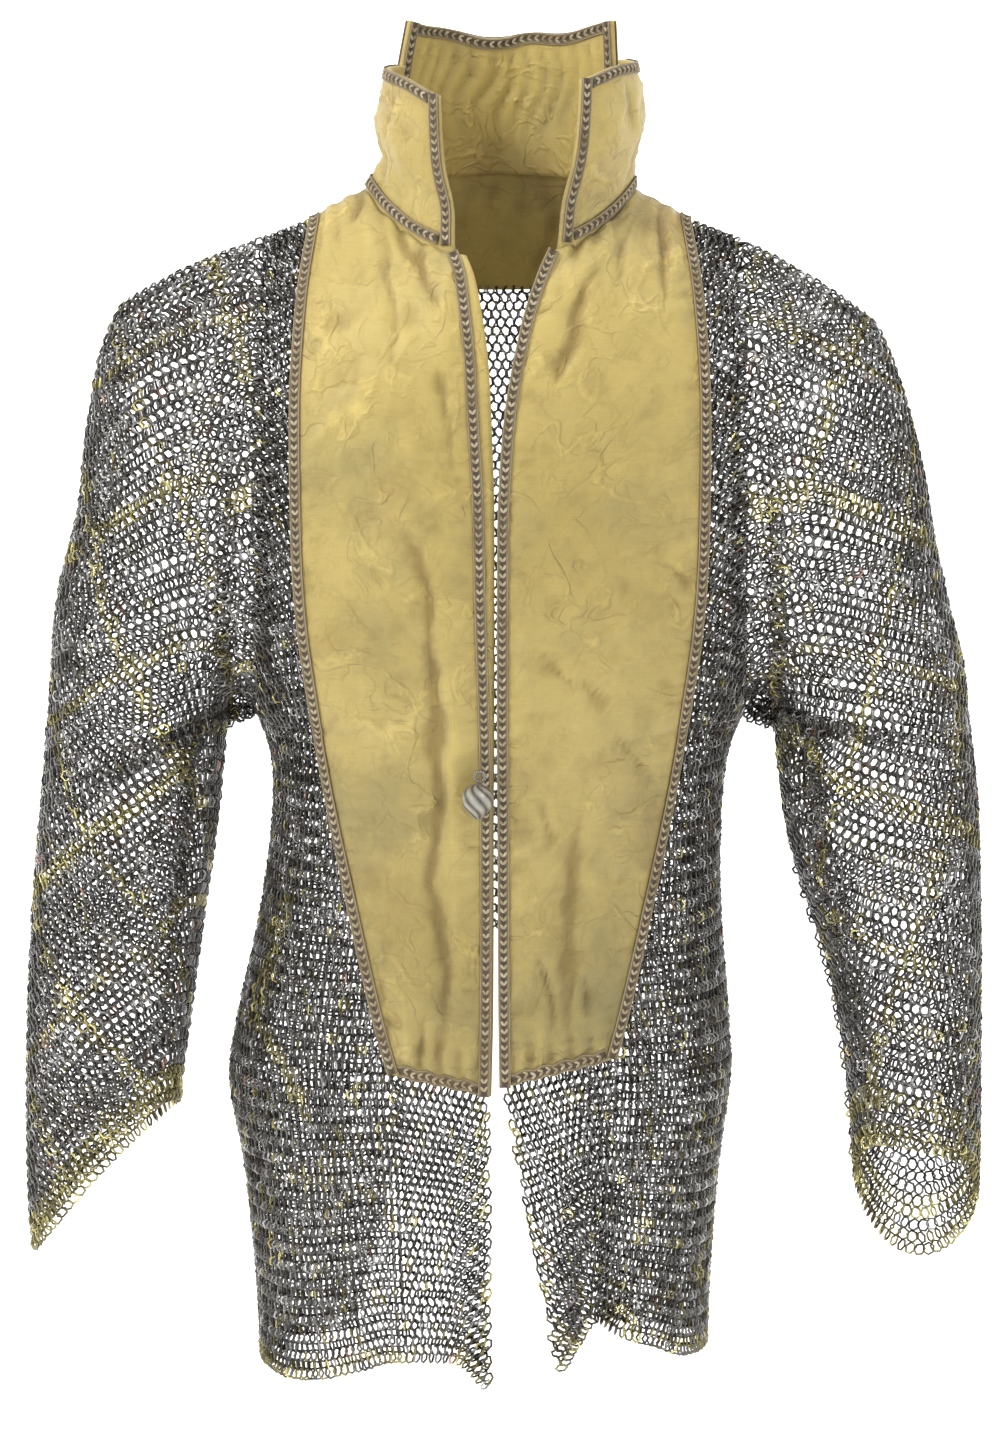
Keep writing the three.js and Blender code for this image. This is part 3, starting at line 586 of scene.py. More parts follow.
MAIL_PIECES = {}
for name, side in SIDES.items():
    bottom_inner, bottom_outer = SILK_BOTTOM[name]
    corner = side * along(SILK_OUTER, bottom_outer)
    edge_at = along(OPENING[name], bottom_inner)

    def skirt_x(u, z, edge=SKIRT_EDGE[name], side=side):
        return mix(along(edge, z), side_x(side, z), np.sin(u * np.pi / 2))

    def under_silk(x, low=bottom_inner, high=bottom_outer, a=edge_at, b=corner):
        return mix(low, high, np.clip((x - a) / (b - a), 0, 1))

    rows, normals = body_rows(-1, skirt_x, lambda x: along(HEM_FRONT, x), under_silk, EVENLY)
    rings, phase, parity = lay_rings(rows, normals, FRONT_PITCH, FRONT_LEAN, anchor=60)
    metal = scattered(len(rings["row"]), 0.10)
    near_edge = np.abs(rings["centre"][:, 0] - along(SKIRT_EDGE[name], rings["centre"][:, 2])) < 9
    metal[(near_edge | (rings["row"] < 2)) & (RNG.uniform(0, 1, len(metal)) < 0.5)] = 0.5
    MAIL_PIECES["mail_skirt_" + name] = mail_piece("mail_skirt_" + name, rings, hip_line(rings, metal))

    def chest_x(u, z, side=side):
        return mix(side * along(SILK_OUTER, z), side_x(side, z), np.sin(u * np.pi / 2))

    rows, normals = body_rows(-1, chest_x, lambda x, low=bottom_outer: low + 0 * x, lambda x: ridge(-1, x), TO_TOP)
    rings, _, _ = lay_rings(rows, normals, FRONT_PITCH, FRONT_LEAN, anchor=50, parity=parity, margin=-1.5)
    MAIL_PIECES["mail_chest_" + name] = mail_piece("mail_chest_" + name, rings,
                                                   hip_line(rings, scattered(len(rings["row"]))))

    def vent_x(u, z, edge=VENT_EDGE[name], side=side):
        return mix(along(edge, z), side_x(side, z), np.sin(u * np.pi / 2))

    rows, normals = body_rows(1, vent_x, lambda x: along(HEM_BACK, x), lambda x: VENT_TOP + 0 * x, EVENLY)
    rings, _, _ = lay_rings(rows, normals, BACK_PITCH, BACK_LEAN, anchor=60)
    MAIL_PIECES["mail_back_skirt_" + name] = mail_piece("mail_back_skirt_" + name, rings,
                                                        scattered(len(rings["row"]), 0.08), BACK_RING_STEPS)

# %% The back, whose rows run on under the yoke and are left out there
YOKE_SIDE, YOKE_DROP = 10, 46


def yoke_edge(x):
    """Height of the yoke's lower edge: half an ellipse that hangs between its two shoulder ends."""
    return (along(BACK_RIDGE, SEAM_HALF) - YOKE_SIDE
            - YOKE_DROP * np.sqrt(np.clip(1 - (x / SEAM_HALF) ** 2, 0, 1)))


def back_x(u, z):
    return mix(side_x(-1, z), side_x(1, z), (np.sin((2 * u - 1) * np.pi / 2) + 1) / 2)


def back_top(x):
    return along([[0, 18], [60, 18], [100, 16], [SEAM_HALF, 13], [ARM_X, 0]], np.abs(x))


rows, normals = body_rows(1, back_x, lambda x: VENT_TOP + 0 * x, back_top, TO_TOP)
rings, _, _ = lay_rings(rows, normals, BACK_PITCH, BACK_LEAN, anchor=45)
x, z = rings["centre"][:, 0], rings["centre"][:, 2]
rings = keep(rings, (np.abs(x) > SEAM_HALF - 2) | (z < yoke_edge(x) + 3))
MAIL_PIECES["mail_back"] = mail_piece("mail_back", rings, scattered(len(rings["row"]), 0.06), BACK_RING_STEPS)

# %% [markdown]
# ## Mail of the sleeves
# A sleeve's rows run down and outwards from the armhole, side by side with the shoulder line, round the outside and
# back behind. Here the rings hang open, like scales. The rows are the lines between a path down the armhole and the
# inner side, and a path down the outer side. The lattice of brass diamonds is counted along and across the rows.
# %% Sizes of the sleeves
SLEEVES = {
    "right": {
        "reach": [[0, 305], [12, 289], [18, 279], [24, 252], [30, 220], [40, 180], [52, 159], [75, 139],
                  [90, 136.5]],
        "inner": [[-680, 212], [-565, 210], [-526, 206], [-495, 201.5], [-447, 195], [-400, 188], [-351, 182],
                  [ARM_Z, 178]],
        "outer": [[-680, 304], [-622, 308], [-510, 307.5], [-422, 302.5], [-352, 296], [ARM_Z, 292]],
        "cuff": {"outer": -665, "back": -618, "inner": -565, "front": -588},
    },
    "left": {
        "reach": [[0, 305], [12, 282], [19, 265], [24, 244], [30, 219], [40, 187], [50, 165], [65, 150], [90, 147]],
        "inner": [[-690, 234], [-610, 233], [-555, 229], [-513, 223.5], [-482, 217.5], [-452, 209], [-418, 197],
                  [-386, 188.5], [-340, 182], [ARM_Z, 179]],
        "outer": [[-690, 309], [-616, 312.5], [-470, 312.5], [-401, 311], [-361, 309], [ARM_Z, 302.5]],
        "cuff": {"outer": -628, "back": -680, "inner": -610, "front": -588},
    },
}
SLEEVE_DEPTH = [[-690, 50], [-565, 54], [-445, 60], [ARM_Z, 68]]
UNDERARM_HALF = 68
CORNER_ANGLE = 18
SLEEVE_PITCH, SLEEVE_LEAN = 6.3, 30
SLANTED_SPACING = 7.8  # between rows, measured down the slanting columns
ROWS_APART, COLUMNS_APART = 85, 77  # between brass rows and between brass columns
CROSSING = {"right": (-237, -270), "left": (265, -458)}


def round_depth(share):
    """Half depth of a round section, 1 in the middle of its width and 0 at both ends."""
    return np.sqrt(np.clip(1 - (2 * share - 1) ** 2, 0, 1))


def sleeve_depth(sleeve, x, z):
    """Half depth of a sleeve at distance x from the middle and height z. Above the underarm the sections fan out
    from it, from the armhole's shape to a round one, and below it they are level and round."""
    angle = np.degrees(np.arctan2(np.maximum(x - ARM_X, 0), z - ARM_Z))
    out = np.hypot(x - ARM_X, z - ARM_Z)
    inside = (along(sleeve["inner"], ARM_Z) - ARM_X) * ease(angle / 70)
    share = np.clip((out - inside) / (along(sleeve["reach"], angle) - inside), 0, 1)
    armhole = depth(1, np.full_like(share, ARM_X), mix(ARM_Z, ridge(1, ARM_X), share))
    fan = mix(armhole, UNDERARM_HALF * round_depth(share), ease(angle / 50))
    inner, outer = along(sleeve["inner"], z), along(sleeve["outer"], z)
    tube = along(SLEEVE_DEPTH, z) * round_depth(np.clip((x - inner) / (outer - inner), 0, 1))
    return np.where(z > ARM_Z, fan, tube)


def even_path(points, count):
    """Points at equal distances along a path."""
    run = np.r_[0, np.cumsum(np.linalg.norm(np.diff(points, axis=0), axis=-1))]
    at = np.linspace(0, run[-1], count)
    return np.stack([np.interp(at, run, points[:, k]) for k in range(points.shape[1])], axis=-1)


def sleeve_grid(sleeve, side, rows=260, columns=120):
    """Rows from the inner path to the outer path in front, and back behind, at the sleeve's half depth."""
    cuff = sleeve["cuff"]
    arm = np.linspace(0, ARM_Z, 60)
    hang_in, hang_out = np.linspace(ARM_Z, cuff["inner"], 80), np.linspace(ARM_Z, cuff["outer"], 80)
    turn = np.linspace(CORNER_ANGLE, 90, 60)
    reach = along(sleeve["reach"], turn)
    inner = np.vstack([np.stack([np.full(60, ARM_X + 1.0), arm], -1),
                       np.stack([along(sleeve["inner"], hang_in), hang_in], -1)])
    fan = np.radians(turn)
    outer = np.vstack([np.stack([ARM_X + reach * np.sin(fan), ARM_Z + reach * np.cos(fan)], -1),
                       np.stack([along(sleeve["outer"], hang_out), hang_out], -1)])
    inner, outer = even_path(inner, rows)[:, None], even_path(outer, rows)[:, None]
    around = np.linspace(0, 2 * np.pi, columns)[None, :]
    share = (1 - np.cos(around)) / 2
    down = np.linspace(0, 1, rows)[:, None]
    x = mix(inner[..., 0], outer[..., 0], share)
    z = mix(inner[..., 1], outer[..., 1], share) + 14 * share * (1 - share) * np.exp(-down / 0.04)
    middle = (cuff["outer"] + cuff["inner"]) / 2
    mean = (cuff["front"] + cuff["back"]) / 2
    z += down**2 * ((mean - middle) * np.sin(around) ** 2 + (cuff["front"] - cuff["back"]) / 2 * np.sin(around))
    y = np.where(around < np.pi, -1, 1) * sleeve_depth(sleeve, x, z)
    return np.stack([side * x, y, z], axis=-1)


def near_multiple(distance, spacing, half):
    """Where a distance is within half a band's width of a whole number of spacings."""
    return np.abs((distance + spacing / 2) % spacing - spacing / 2) < half


def lattice(rings, crossing):
    """Brass along whole rows and along lines square to them, counted from a place where two of them cross."""
    x, y, z = rings["centre"].T
    start = np.argmin(np.hypot(x - crossing[0], z - crossing[1]) + 1000 * (y > 0))
    down = (rings["row"] - rings["row"][start]) * ROW_SPACING
    across = rings["column"] - rings["column"][start]
    hit = near_multiple(down, ROWS_APART, 4.5) | near_multiple(across, COLUMNS_APART, 3.9)
    hit = hit & (RNG.uniform(0, 1, len(x)) < 0.85)
    return np.where(hit | (rings["from_top"] < 2), 0.5, scattered(len(x), 0.02, 0.012))


for name, side in SIDES.items():
    rows = even_rows(sleeve_grid(SLEEVES[name], side), SLANTED_SPACING)
    outward = rows - rows.mean(axis=1, keepdims=True)
    rings, _, _ = lay_rings(rows, grid_normals(rows, outward), SLEEVE_PITCH, SLEEVE_LEAN, anchor=30)
    MAIL_PIECES["sleeve_" + name] = mail_piece("sleeve_" + name, rings, lattice(rings, CROSSING[name]))

# %% [markdown]
# ## Creases of the silk
# The silk is old and thin, and it lies over light padding. It keeps every fold that wear has put in it. The main
# folds are listed: each is a line on the panel with a height (below zero for a trough) and a width.
# Cloth simulation would give folds, but not these ones. Pleats run down from the collar seam, one long
# fold hangs on each side of the opening, and the hem is gathered. Smaller wrinkles come from a formula.
# %% Main folds, as (height, width, line of places)
FOLD_LINES = {
    "right": [
        (-3.5, 3.6, [[-67, 12], [-56, -6], [-38, -34]]),
        (-2.2, 2.4, [[-73, 14], [-69, -25], [-66, -72]]),
        (-2.6, 2.6, [[-89, 29], [-95, 10]]),
        (-2.4, 3.2, [[-39, -72], [-36, -93], [-27, -144]]),
        (1.1, 1.6, [[-115, -116], [-87, -100], [-69, -95]]),
        (1.1, 1.5, [[-131, -124], [-102, -110]]),
        (0.9, 1.4, [[-130, -137], [-111, -131]]),
        (-1.2, 6.0, [[-122, -70], [-105, -49], [-95, -41]]),
        (-3.2, 4.0, [[-60, -174], [-46, -210], [-41, -272], [-38, -342], [-43, -402], [-33, -475], [-39, -515]]),
        (1.6, 5.0, [[-37, -217], [-32, -272], [-28, -342], [-30, -401], [-24, -475]]),
        (1.0, 1.5, [[-120, -242], [-101, -228], [-92, -228]]),
        (1.0, 1.5, [[-118, -279], [-94, -268]]),
        (1.4, 1.7, [[-105, -340], [-82, -341], [-63, -357]]),
        (1.2, 1.6, [[-95, -362], [-66, -374]]),
        (1.2, 1.6, [[-106, -339], [-90, -318]]),
        (-1.6, 2.2, [[-72, -272], [-44, -291]]),
        (1.0, 1.6, [[-41, -225], [-12, -219]]),
        (1.1, 1.7, [[-37, -284], [-12, -291]]),
        (1.2, 2.2, [[-35, -371], [-13, -392]]),
        (1.0, 1.8, [[-30, -428], [-11, -443]]),
        (-1.3, 1.2, [[-35, -473], [-8, -470]]),
        (-2.2, 2.6, [[-80, -459], [-69, -518]]),
        (-2.0, 2.4, [[-49, -485], [-51, -520]]),
        (1.3, 3.0, [[-60, -471], [-60, -516]]),
    ],
    "left": [
        (-3.6, 3.8, [[74, 3], [52, -26], [46, -45], [44, -59], [36, -69], [36, -78]]),
        (-3.0, 3.2, [[95, 28], [101, 9], [104, -5], [104, -32]]),
        (-1.8, 2.2, [[86, 18], [76, -7], [73, -20]]),
        (-1.6, 2.0, [[39, -27], [27, -39]]),
        (2.0, 5.0, [[78, 8], [56, -15], [44, -30]]),
        (-1.6, 2.4, [[51, 5], [40, -8]]),
        (1.1, 1.7, [[46, -129], [64, -115], [96, -91]]),
        (1.0, 1.6, [[7, -154], [22, -146]]),
        (1.0, 1.6, [[48, -138], [62, -141]]),
        (-2.2, 3.2, [[100, -190], [115, -207], [120, -214]]),
        (1.2, 1.8, [[5, -233], [21, -221]]),
        (-1.8, 2.4, [[28, -252], [42, -269], [65, -284]]),
        (-2.8, 5.0, [[49, -363], [48, -392], [43, -428], [40, -487]]),
        (-1.7, 2.2, [[28, -351], [31, -373]]),
        (-2.2, 2.4, [[24, -446], [33, -494]]),
        (-2.2, 2.4, [[49, -456], [42, -495]]),
        (-2.0, 2.2, [[55, -462], [58, -491]]),
        (1.3, 1.8, [[5, -387], [19, -380]]),
        (1.1, 1.7, [[5, -399], [21, -401]]),
        (1.1, 1.7, [[8, -410], [17, -423]]),
        (-1.4, 2.2, [[68, -296], [98, -345]]),
        (1.0, 1.6, [[37, -282], [64, -276]]),
        (1.0, 1.7, [[12, -192], [30, -184]]),
        (1.0, 1.7, [[7, -282], [25, -290]]),
    ],
}


def wobble(x, z, wavelength, seed):
    """An uneven smooth field of about plus or minus 1: the sum of ten waves in random directions, whose
    lengths lie around one wavelength."""
    rng = np.random.default_rng(seed)
    total = 0
    for _ in range(10):
        angle, phase = rng.uniform(0, 2 * np.pi, 2)
        k = 2 * np.pi / (wavelength * rng.uniform(0.7, 1.5))
        total = total + np.sin(k * (x * np.cos(angle) + z * np.sin(angle)) + phase)
    return total / 3.2


def crumpled(x, z, wavelength, seed):
    """Sharp little ridges, like crushed silk: a wobble is highest here where it passes through zero."""
    return np.clip(1 - 2.2 * np.abs(wobble(x, z, wavelength, seed)), 0, 1) ** 1.5 - 0.3


def fold_field(lines, x, z):
    """Height of the listed folds: each a soft ridge or trough round its line, thinner at its ends."""
    shift_x, shift_z = 1.6 * wobble(x, z, 30, 3), 1.6 * wobble(x, z, 30, 4)
    total = 0
    for height, width, line in lines:
        away, share = distance_to_line(x + shift_x, z + shift_z, line)
        total = total + height * (0.25 + 0.75 * np.sin(np.pi * share) ** 0.6) * np.exp(-(away / width) ** 1.6)
    return total


print("folds", {name: len(lines) for name, lines in FOLD_LINES.items()})

# %% [markdown]
# ## Silk fronts
# A front is one thin padded shell. Its outer face is the worn form, raised by padding that swells between the
# braids, plus the folds and wrinkles. Its inner face is plain. On the wearer's right the silk goes on past
# the braid as a narrow facing.
# %% Grids and heights of the silk
BRAID_WIDTH = 7.5
SILK_LOW, SILK_PUFF, SILK_BACK = 2.3, 2.2, -1.4


def shell_mesh(name, outer, inner, attributes):
    """A closed thin shell: two grids of points joined by a rim on their four borders."""
    rows, columns = outer.shape[:2]
    index = np.arange(rows * columns).reshape(rows, columns)
    face = np.stack([index[:-1, :-1], index[:-1, 1:], index[1:, 1:], index[1:, :-1]], axis=-1).reshape(-1, 4)
    under = index + rows * columns
    around = np.r_[index[0, :-1], index[:-1, -1], index[-1, :0:-1], index[:0:-1, 0]]
    following = np.roll(around, -1)
    rim = np.stack([following, around, around + rows * columns, following + rows * columns], axis=-1)
    quads = np.vstack([face, face[:, ::-1] + rows * columns, rim])
    points = np.vstack([outer.reshape(-1, 3), inner.reshape(-1, 3)])
    corner = points[quads]
    volume = np.sum(corner[:, 0] * np.cross(corner[:, 1], corner[:, 2])
                    + corner[:, 0] * np.cross(corner[:, 2], corner[:, 3]))
    mesh = poly_mesh(name, points, quads[:, ::-1] if volume < 0 else quads)
    for key, values in attributes.items():
        point_attribute(mesh, key, np.tile(values.ravel(), 2))
    return mesh


def silk_bottom(name, x):
    """Height of a front's lower edge: straight from its opening edge to its outer edge."""
    low, high = SILK_BOTTOM[name]
    start, end = along(OPENING[name], low), SIDES[name] * along(SILK_OUTER, high)
    return mix(low, high, np.clip((x - start) / (end - start), 0, 1))


def front_top(x):
    """Height of a front's upper edge: the collar seam, and beyond it the shoulder line."""
    x = np.abs(x)
    return np.where(x < NECK_HALF, along(NECK_FRONT, x), ridge(-1, x))


def facing(name, z):
    """Width of silk between the opening edge and its braid."""
    return along(FACING, z) if name == "right" else 0 * z


def front_height(name, x, z):
    """Height of the silk's outer face above the worn form, and the number for its painted fold shade. That number is
    the fold part, lowered on the facing's lower part to give a painted shadow.
    """
    side = SIDES[name]
    from_opening = side * (x - along(OPENING[name], z)) - facing(name, z)
    from_side = side * (side * along(SILK_OUTER, z) - x)
    from_hem = z - silk_bottom(name, x)
    from_seam = front_top(x) - z
    clear = np.minimum(np.minimum(from_opening, from_side), from_hem) - BRAID_WIDTH
    puff = 1 - np.exp(-(np.maximum(clear, 0) / 5) ** 1.5)
    puff = puff * (1 - 0.7 * np.exp(-(np.maximum(from_seam, 0) / 12) ** 2))
    free = np.clip(clear / 3, 0, 1)
    placed = fold_field(FOLD_LINES[name], x, z) * free
    pucker = 0.75 * np.exp(-((clear - 5) / 9) ** 2) * np.sin(2 * np.pi * z / 10.5 + 2.2 * wobble(x, z, 45, 11))
    pucker = pucker * np.clip(wobble(x, z, 60, 12) + 0.5, 0, 1)
    gathers = 1.5 * np.exp(-((from_hem - BRAID_WIDTH) / 20) ** 2) * np.sin(2 * np.pi * x / 12.5 + side)
    pleats = 1.0 * np.exp(-((from_seam - 2) / 26) ** 2) * np.sin(np.abs(x) / 2.1 + wobble(x, z, 50, 13))
    small = 0.55 * wobble(x, z, 30, 14) + 0.9 * crumpled(x, z, 34, 16) + 0.6 * crumpled(x, z, 17, 17)
    creases = 1.15 * placed + free * (pucker + gathers + pleats + small)
    edge = -1.2 * np.exp(-(np.maximum(from_opening + facing(name, z), 0) / 1.6) ** 2)
    # Painted shadow: the fold number is lowered towards the bottom of the facing strip beyond the braid, as if the
    # other front's edge shaded it.
    facing_shadow = np.clip(-from_opening / 2, 0, 1) * 2.4 * ease((-190 - z) / 120)
    return SILK_LOW + SILK_PUFF * puff + creases + edge, creases - facing_shadow


# %% Silk and its material
SILK, SILK_LIGHT = (0.44, 0.33, 0.095), (0.60, 0.46, 0.15)
SILK_OLIVE, SILK_BROWN = (0.28, 0.235, 0.095), (0.29, 0.185, 0.065)
# The last colour is painted shade, multiplied in towards the bottom of the silk.
LOWER_SHADE_TONE = (0.74, 0.76, 0.84)


def crinkle_group():
    """Height of small crumples, with sharp ridges of two sizes, and height of the threads of the weave."""
    group = bpy.data.node_groups.new("silk_crinkle", "ShaderNodeTree")
    for name in ("Crumple", "Threads"):
        group.interface.new_socket(name, in_out="OUTPUT", socket_type="NodeSocketFloat")
    nodes, links = group.nodes, group.links
    out, place = nodes.new("NodeGroupOutput"), nodes.new("ShaderNodeTexCoord")
    crumples = []
    for scale, width in ((19, 0.035), (46, 0.055)):
        noise, away, size, line = (nodes.new("ShaderNode" + kind) for kind in ("TexNoise", "Math", "Math", "MapRange"))
        noise.inputs["Scale"].default_value = scale
        noise.inputs["Detail"].default_value = 2
        noise.inputs["Distortion"].default_value = 0.7
        line.inputs["From Max"].default_value = width
        line.inputs["To Min"].default_value = 1
        line.inputs["To Max"].default_value = 0
        away.operation, size.operation = "SUBTRACT", "ABSOLUTE"
        away.inputs[1].default_value = 0.5
        links.new(place.outputs["Object"], noise.inputs["Vector"])
        links.new(noise.outputs["Fac"], away.inputs[0])
        links.new(away.outputs[0], size.inputs[0])
        links.new(size.outputs[0], line.inputs["Value"])
        crumples.append(line.outputs["Result"])
    joined, here = nodes.new("ShaderNodeMath"), nodes.new("ShaderNodeMath")
    joined.operation, here.operation = "MULTIPLY_ADD", "MULTIPLY"
    joined.inputs[1].default_value = 0.6
    links.new(crumples[1], joined.inputs[0])
    links.new(crumples[0], joined.inputs[2])
    links.new(joined.outputs[0], here.inputs[0])
    links.new(patches(nodes, 24, 0.40, 0.62), here.inputs[1])
    links.new(here.outputs[0], out.inputs["Crumple"])
    both = nodes.new("ShaderNodeMath")
    both.operation = "ADD"
    for socket, scale in ((both.inputs[0], (2600, 2600, 90)), (both.inputs[1], (90, 90, 2600))):
        stretch, thread = nodes.new("ShaderNodeMapping"), nodes.new("ShaderNodeTexNoise")
        stretch.inputs["Scale"].default_value = scale
        thread.inputs["Scale"].default_value = 1
        thread.inputs["Detail"].default_value = 1
        links.new(place.outputs["Object"], stretch.inputs["Vector"])
        links.new(stretch.outputs["Vector"], thread.inputs["Vector"])
        links.new(thread.outputs["Fac"], socket)
    links.new(both.outputs[0], out.inputs["Threads"])
    return group


def silk_cloth():
    """Old ochre silk, dull olive and brown where it is stained. Painted highlight where folds and crumples stand up,
    painted shade in fold troughs, on the lower facing and towards the bottom.
    """
    material, nodes, links, output = new_material("old_ochre_silk")
    shader = nodes.new("ShaderNodeBsdfPrincipled")
    crinkle = nodes.new("ShaderNodeGroup")
    crinkle.node_tree = crinkle_group()
    fold_shading = nodes.new("ShaderNodeAttribute")
    fold_shading.attribute_name = "fold_shading"
    threads = nodes.new("ShaderNodeMapRange")
    for key, value in (("From Min", 0.75), ("From Max", 1.25), ("To Min", 0.95), ("To Max", 1.05)):
        threads.inputs[key].default_value = value
    links.new(crinkle.outputs["Threads"], threads.inputs["Value"])
    colour = blend_colours(nodes, links, patches(nodes, 5.5, 0.35, 0.68), SILK, SILK_LIGHT)
    colour = blend_colours(nodes, links, patches(nodes, 9, 0.50, 0.78), colour, SILK_OLIVE)
    colour = blend_colours(nodes, links, patches(nodes, 13, 0.56, 0.86), colour, SILK_BROWN)
    # Painted shade in the troughs of the folds and painted highlight on their ridges, read from each point's fold
    # number.
    fold_shade_and_highlight = ramp(nodes, links, fold_shading.outputs["Fac"],
                  [(0.0, (0.62, 0.57, 0.50)), (0.4, (0.96, 0.96, 0.96)), (0.6, (1.0, 1.0, 1.0)),
                   (1.0, (1.15, 1.15, 1.12))])
    colour = blend_colours(nodes, links, 1.0, colour, fold_shade_and_highlight, "MULTIPLY")
    colour = blend_colours(nodes, links, 1.0, colour, threads.outputs["Result"], "MULTIPLY")
    # Painted highlight on the thin ridges of the crumples, with slight painted shade just beside them.
    crumple_shading = ramp(nodes, links, crinkle.outputs["Crumple"],
                  [(0.0, (0.97, 0.97, 0.96)), (0.3, (0.92, 0.91, 0.88)), (0.9, (1.14, 1.14, 1.10))])
    colour = blend_colours(nodes, links, 1.0, colour, crumple_shading, "MULTIPLY")
    # Painted shade: the silk is multiplied darker towards the bottom, where light from above falls off.
    place, axes, height = (nodes.new(kind) for kind in ("ShaderNodeTexCoord", "ShaderNodeSeparateXYZ", "ShaderNodeMapRange"))
    links.new(place.outputs["Object"], axes.inputs[0])
    links.new(axes.outputs["Z"], height.inputs["Value"])
    height.inputs["From Min"].default_value = -0.53
    height.inputs["From Max"].default_value = -0.05
    lower_shade = blend_colours(nodes, links, height.outputs["Result"], LOWER_SHADE_TONE, (1.0, 1.0, 1.0))
    colour = blend_colours(nodes, links, 1.0, colour, lower_shade, "MULTIPLY")
    links.new(colour, shader.inputs["Base Color"])
    shader.inputs["Roughness"].default_value = 0.5
    shader.inputs["Sheen Weight"].default_value = 0.18
    shader.inputs["Specular IOR Level"].default_value = 0.35
    crumple, weave = nodes.new("ShaderNodeBump"), nodes.new("ShaderNodeBump")
    crumple.inputs["Distance"].default_value = 0.0013
    crumple.inputs["Strength"].default_value = 0.9
    weave.inputs["Distance"].default_value = 0.0002
    weave.inputs["Strength"].default_value = 0.5
    links.new(crinkle.outputs["Crumple"], crumple.inputs["Height"])
    links.new(crinkle.outputs["Threads"], weave.inputs["Height"])
    links.new(crumple.outputs["Normal"], weave.inputs["Normal"])
    links.new(weave.outputs["Normal"], shader.inputs["Normal"])
    links.new(shader.outputs[0], output.inputs[0])
    return material


SILK_CLOTH = silk_cloth()


def crease_tone(creases):
    """Folds as a number from 0, the bottom of a trough, to 1, the top of a ridge. The silk turns this number into
    painted shade and painted highlight.
    """
    return np.clip(0.5 + creases / 5, 0, 1)


def silk_piece(node, outer, inner, creases):
    """Makes a silk shell that stands for its CAD node."""
    # Each point gets its fold number, which the silk paints as shade in troughs and highlight on ridges.
    mesh = shell_mesh(node + "_silk", outer, inner, {"fold_shading": crease_tone(creases)})
    piece = new_object(node + "_silk", mesh, SILK_CLOTH)
    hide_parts(node)
    print(node, len(mesh.polygons), "faces")
    return piece


for name, side in SIDES.items():
    def panel_x(u, z, name=name, side=side):
        return mix(along(OPENING[name], z), side * along(SILK_OUTER, z), u)

    x, z = places(panel_x, lambda x, name=name: silk_bottom(name, x), front_top, 40, np.linspace(0, 1, 156))
    height, creases = front_height(name, x, z)
    normals = form_normals(-1, x, z)
    outer = form_points(-1, x, z) + normals * height[..., None]
    inner = form_points(-1, x, z) + normals * SILK_BACK
    silk_piece("silk_front_" + name, outer, inner, creases)

# %% The yoke behind the neck
def back_seam(x):
    """Height of the yoke's upper edge: the collar seam, and beyond it the shoulder line."""
    x = np.abs(x)
    return np.where(x < NECK_HALF, along(NECK_BACK, x), ridge(1, x))


x, z = places(lambda u, z: mix(-SEAM_HALF + 0.3, SEAM_HALF - 0.3, u) + 0 * z, yoke_edge, back_seam, 60,
              np.linspace(0.01, 1, 22))
from_hem, from_seam = z - yoke_edge(x), back_seam(x) - z
clear = np.maximum(from_hem - BRAID_WIDTH, 0)
puff = 1 - np.exp(-(np.clip(from_seam, 0, clear) / 5) ** 1.5)
creases = puff * (1.4 * np.exp(-((from_seam - 6) / 22) ** 2) * np.sin(x / 2.6 + wobble(x, z, 60, 21))
                  + 0.6 * wobble(x, z, 24, 22) - 1.8 * np.exp(-((x - 34 - z * 0.4) / 4) ** 2)
                  - 1.6 * np.exp(-((x + 48 + z * 0.5) / 4) ** 2))
normals = form_normals(1, x, z)
silk_piece(
    "silk_yoke", form_points(1, x, z) + normals * (SILK_LOW + 1.4 * puff + creases)[..., None],
    form_points(1, x, z) + normals * SILK_BACK, creases)

# %% [markdown]
# ## Collar
# The collar stands in three stiff pieces. The two side pieces swell outwards. The back piece is softer: its top edge
# waves, and small gathers run down its inner face from the edge, because the cloth is fuller than its binding.
# %% Collar form
COLLAR_SPANS = {
    "right": {"seam": (-20, -114), "top": (-37, -114)},
    "left": {"seam": (26, 112), "top": (36, 112)},
    "back": {"seam": (122, 238), "top": (122, 238)},
}
COLLAR_CLEAR, COLLAR_MIDDLE_X, COLLAR_HEIGHT, COLLAR_RADIUS = 3.4, 7, 95, 78
COLLAR_FOOT = -0.05  # the silk goes on below its seam line by this share of its height
COLLAR_WIDE = [[0, 76], [60, 76], [90, 79], [114, 76], [122, 77.5], [180, 77]]
COLLAR_DEEP = [[0, 62], [90, 62], [180, 66]]
COLLAR_TOP = {
    "right": [[20, 96], [37, 98], [60, 107], [90, 111], [114, 111]],
    "left": [[26, 106], [36, 108], [60, 115], [90, 115], [112, 115]],
    "back": [[122, 139.5], [150, 131], [180, 125.5]],
}


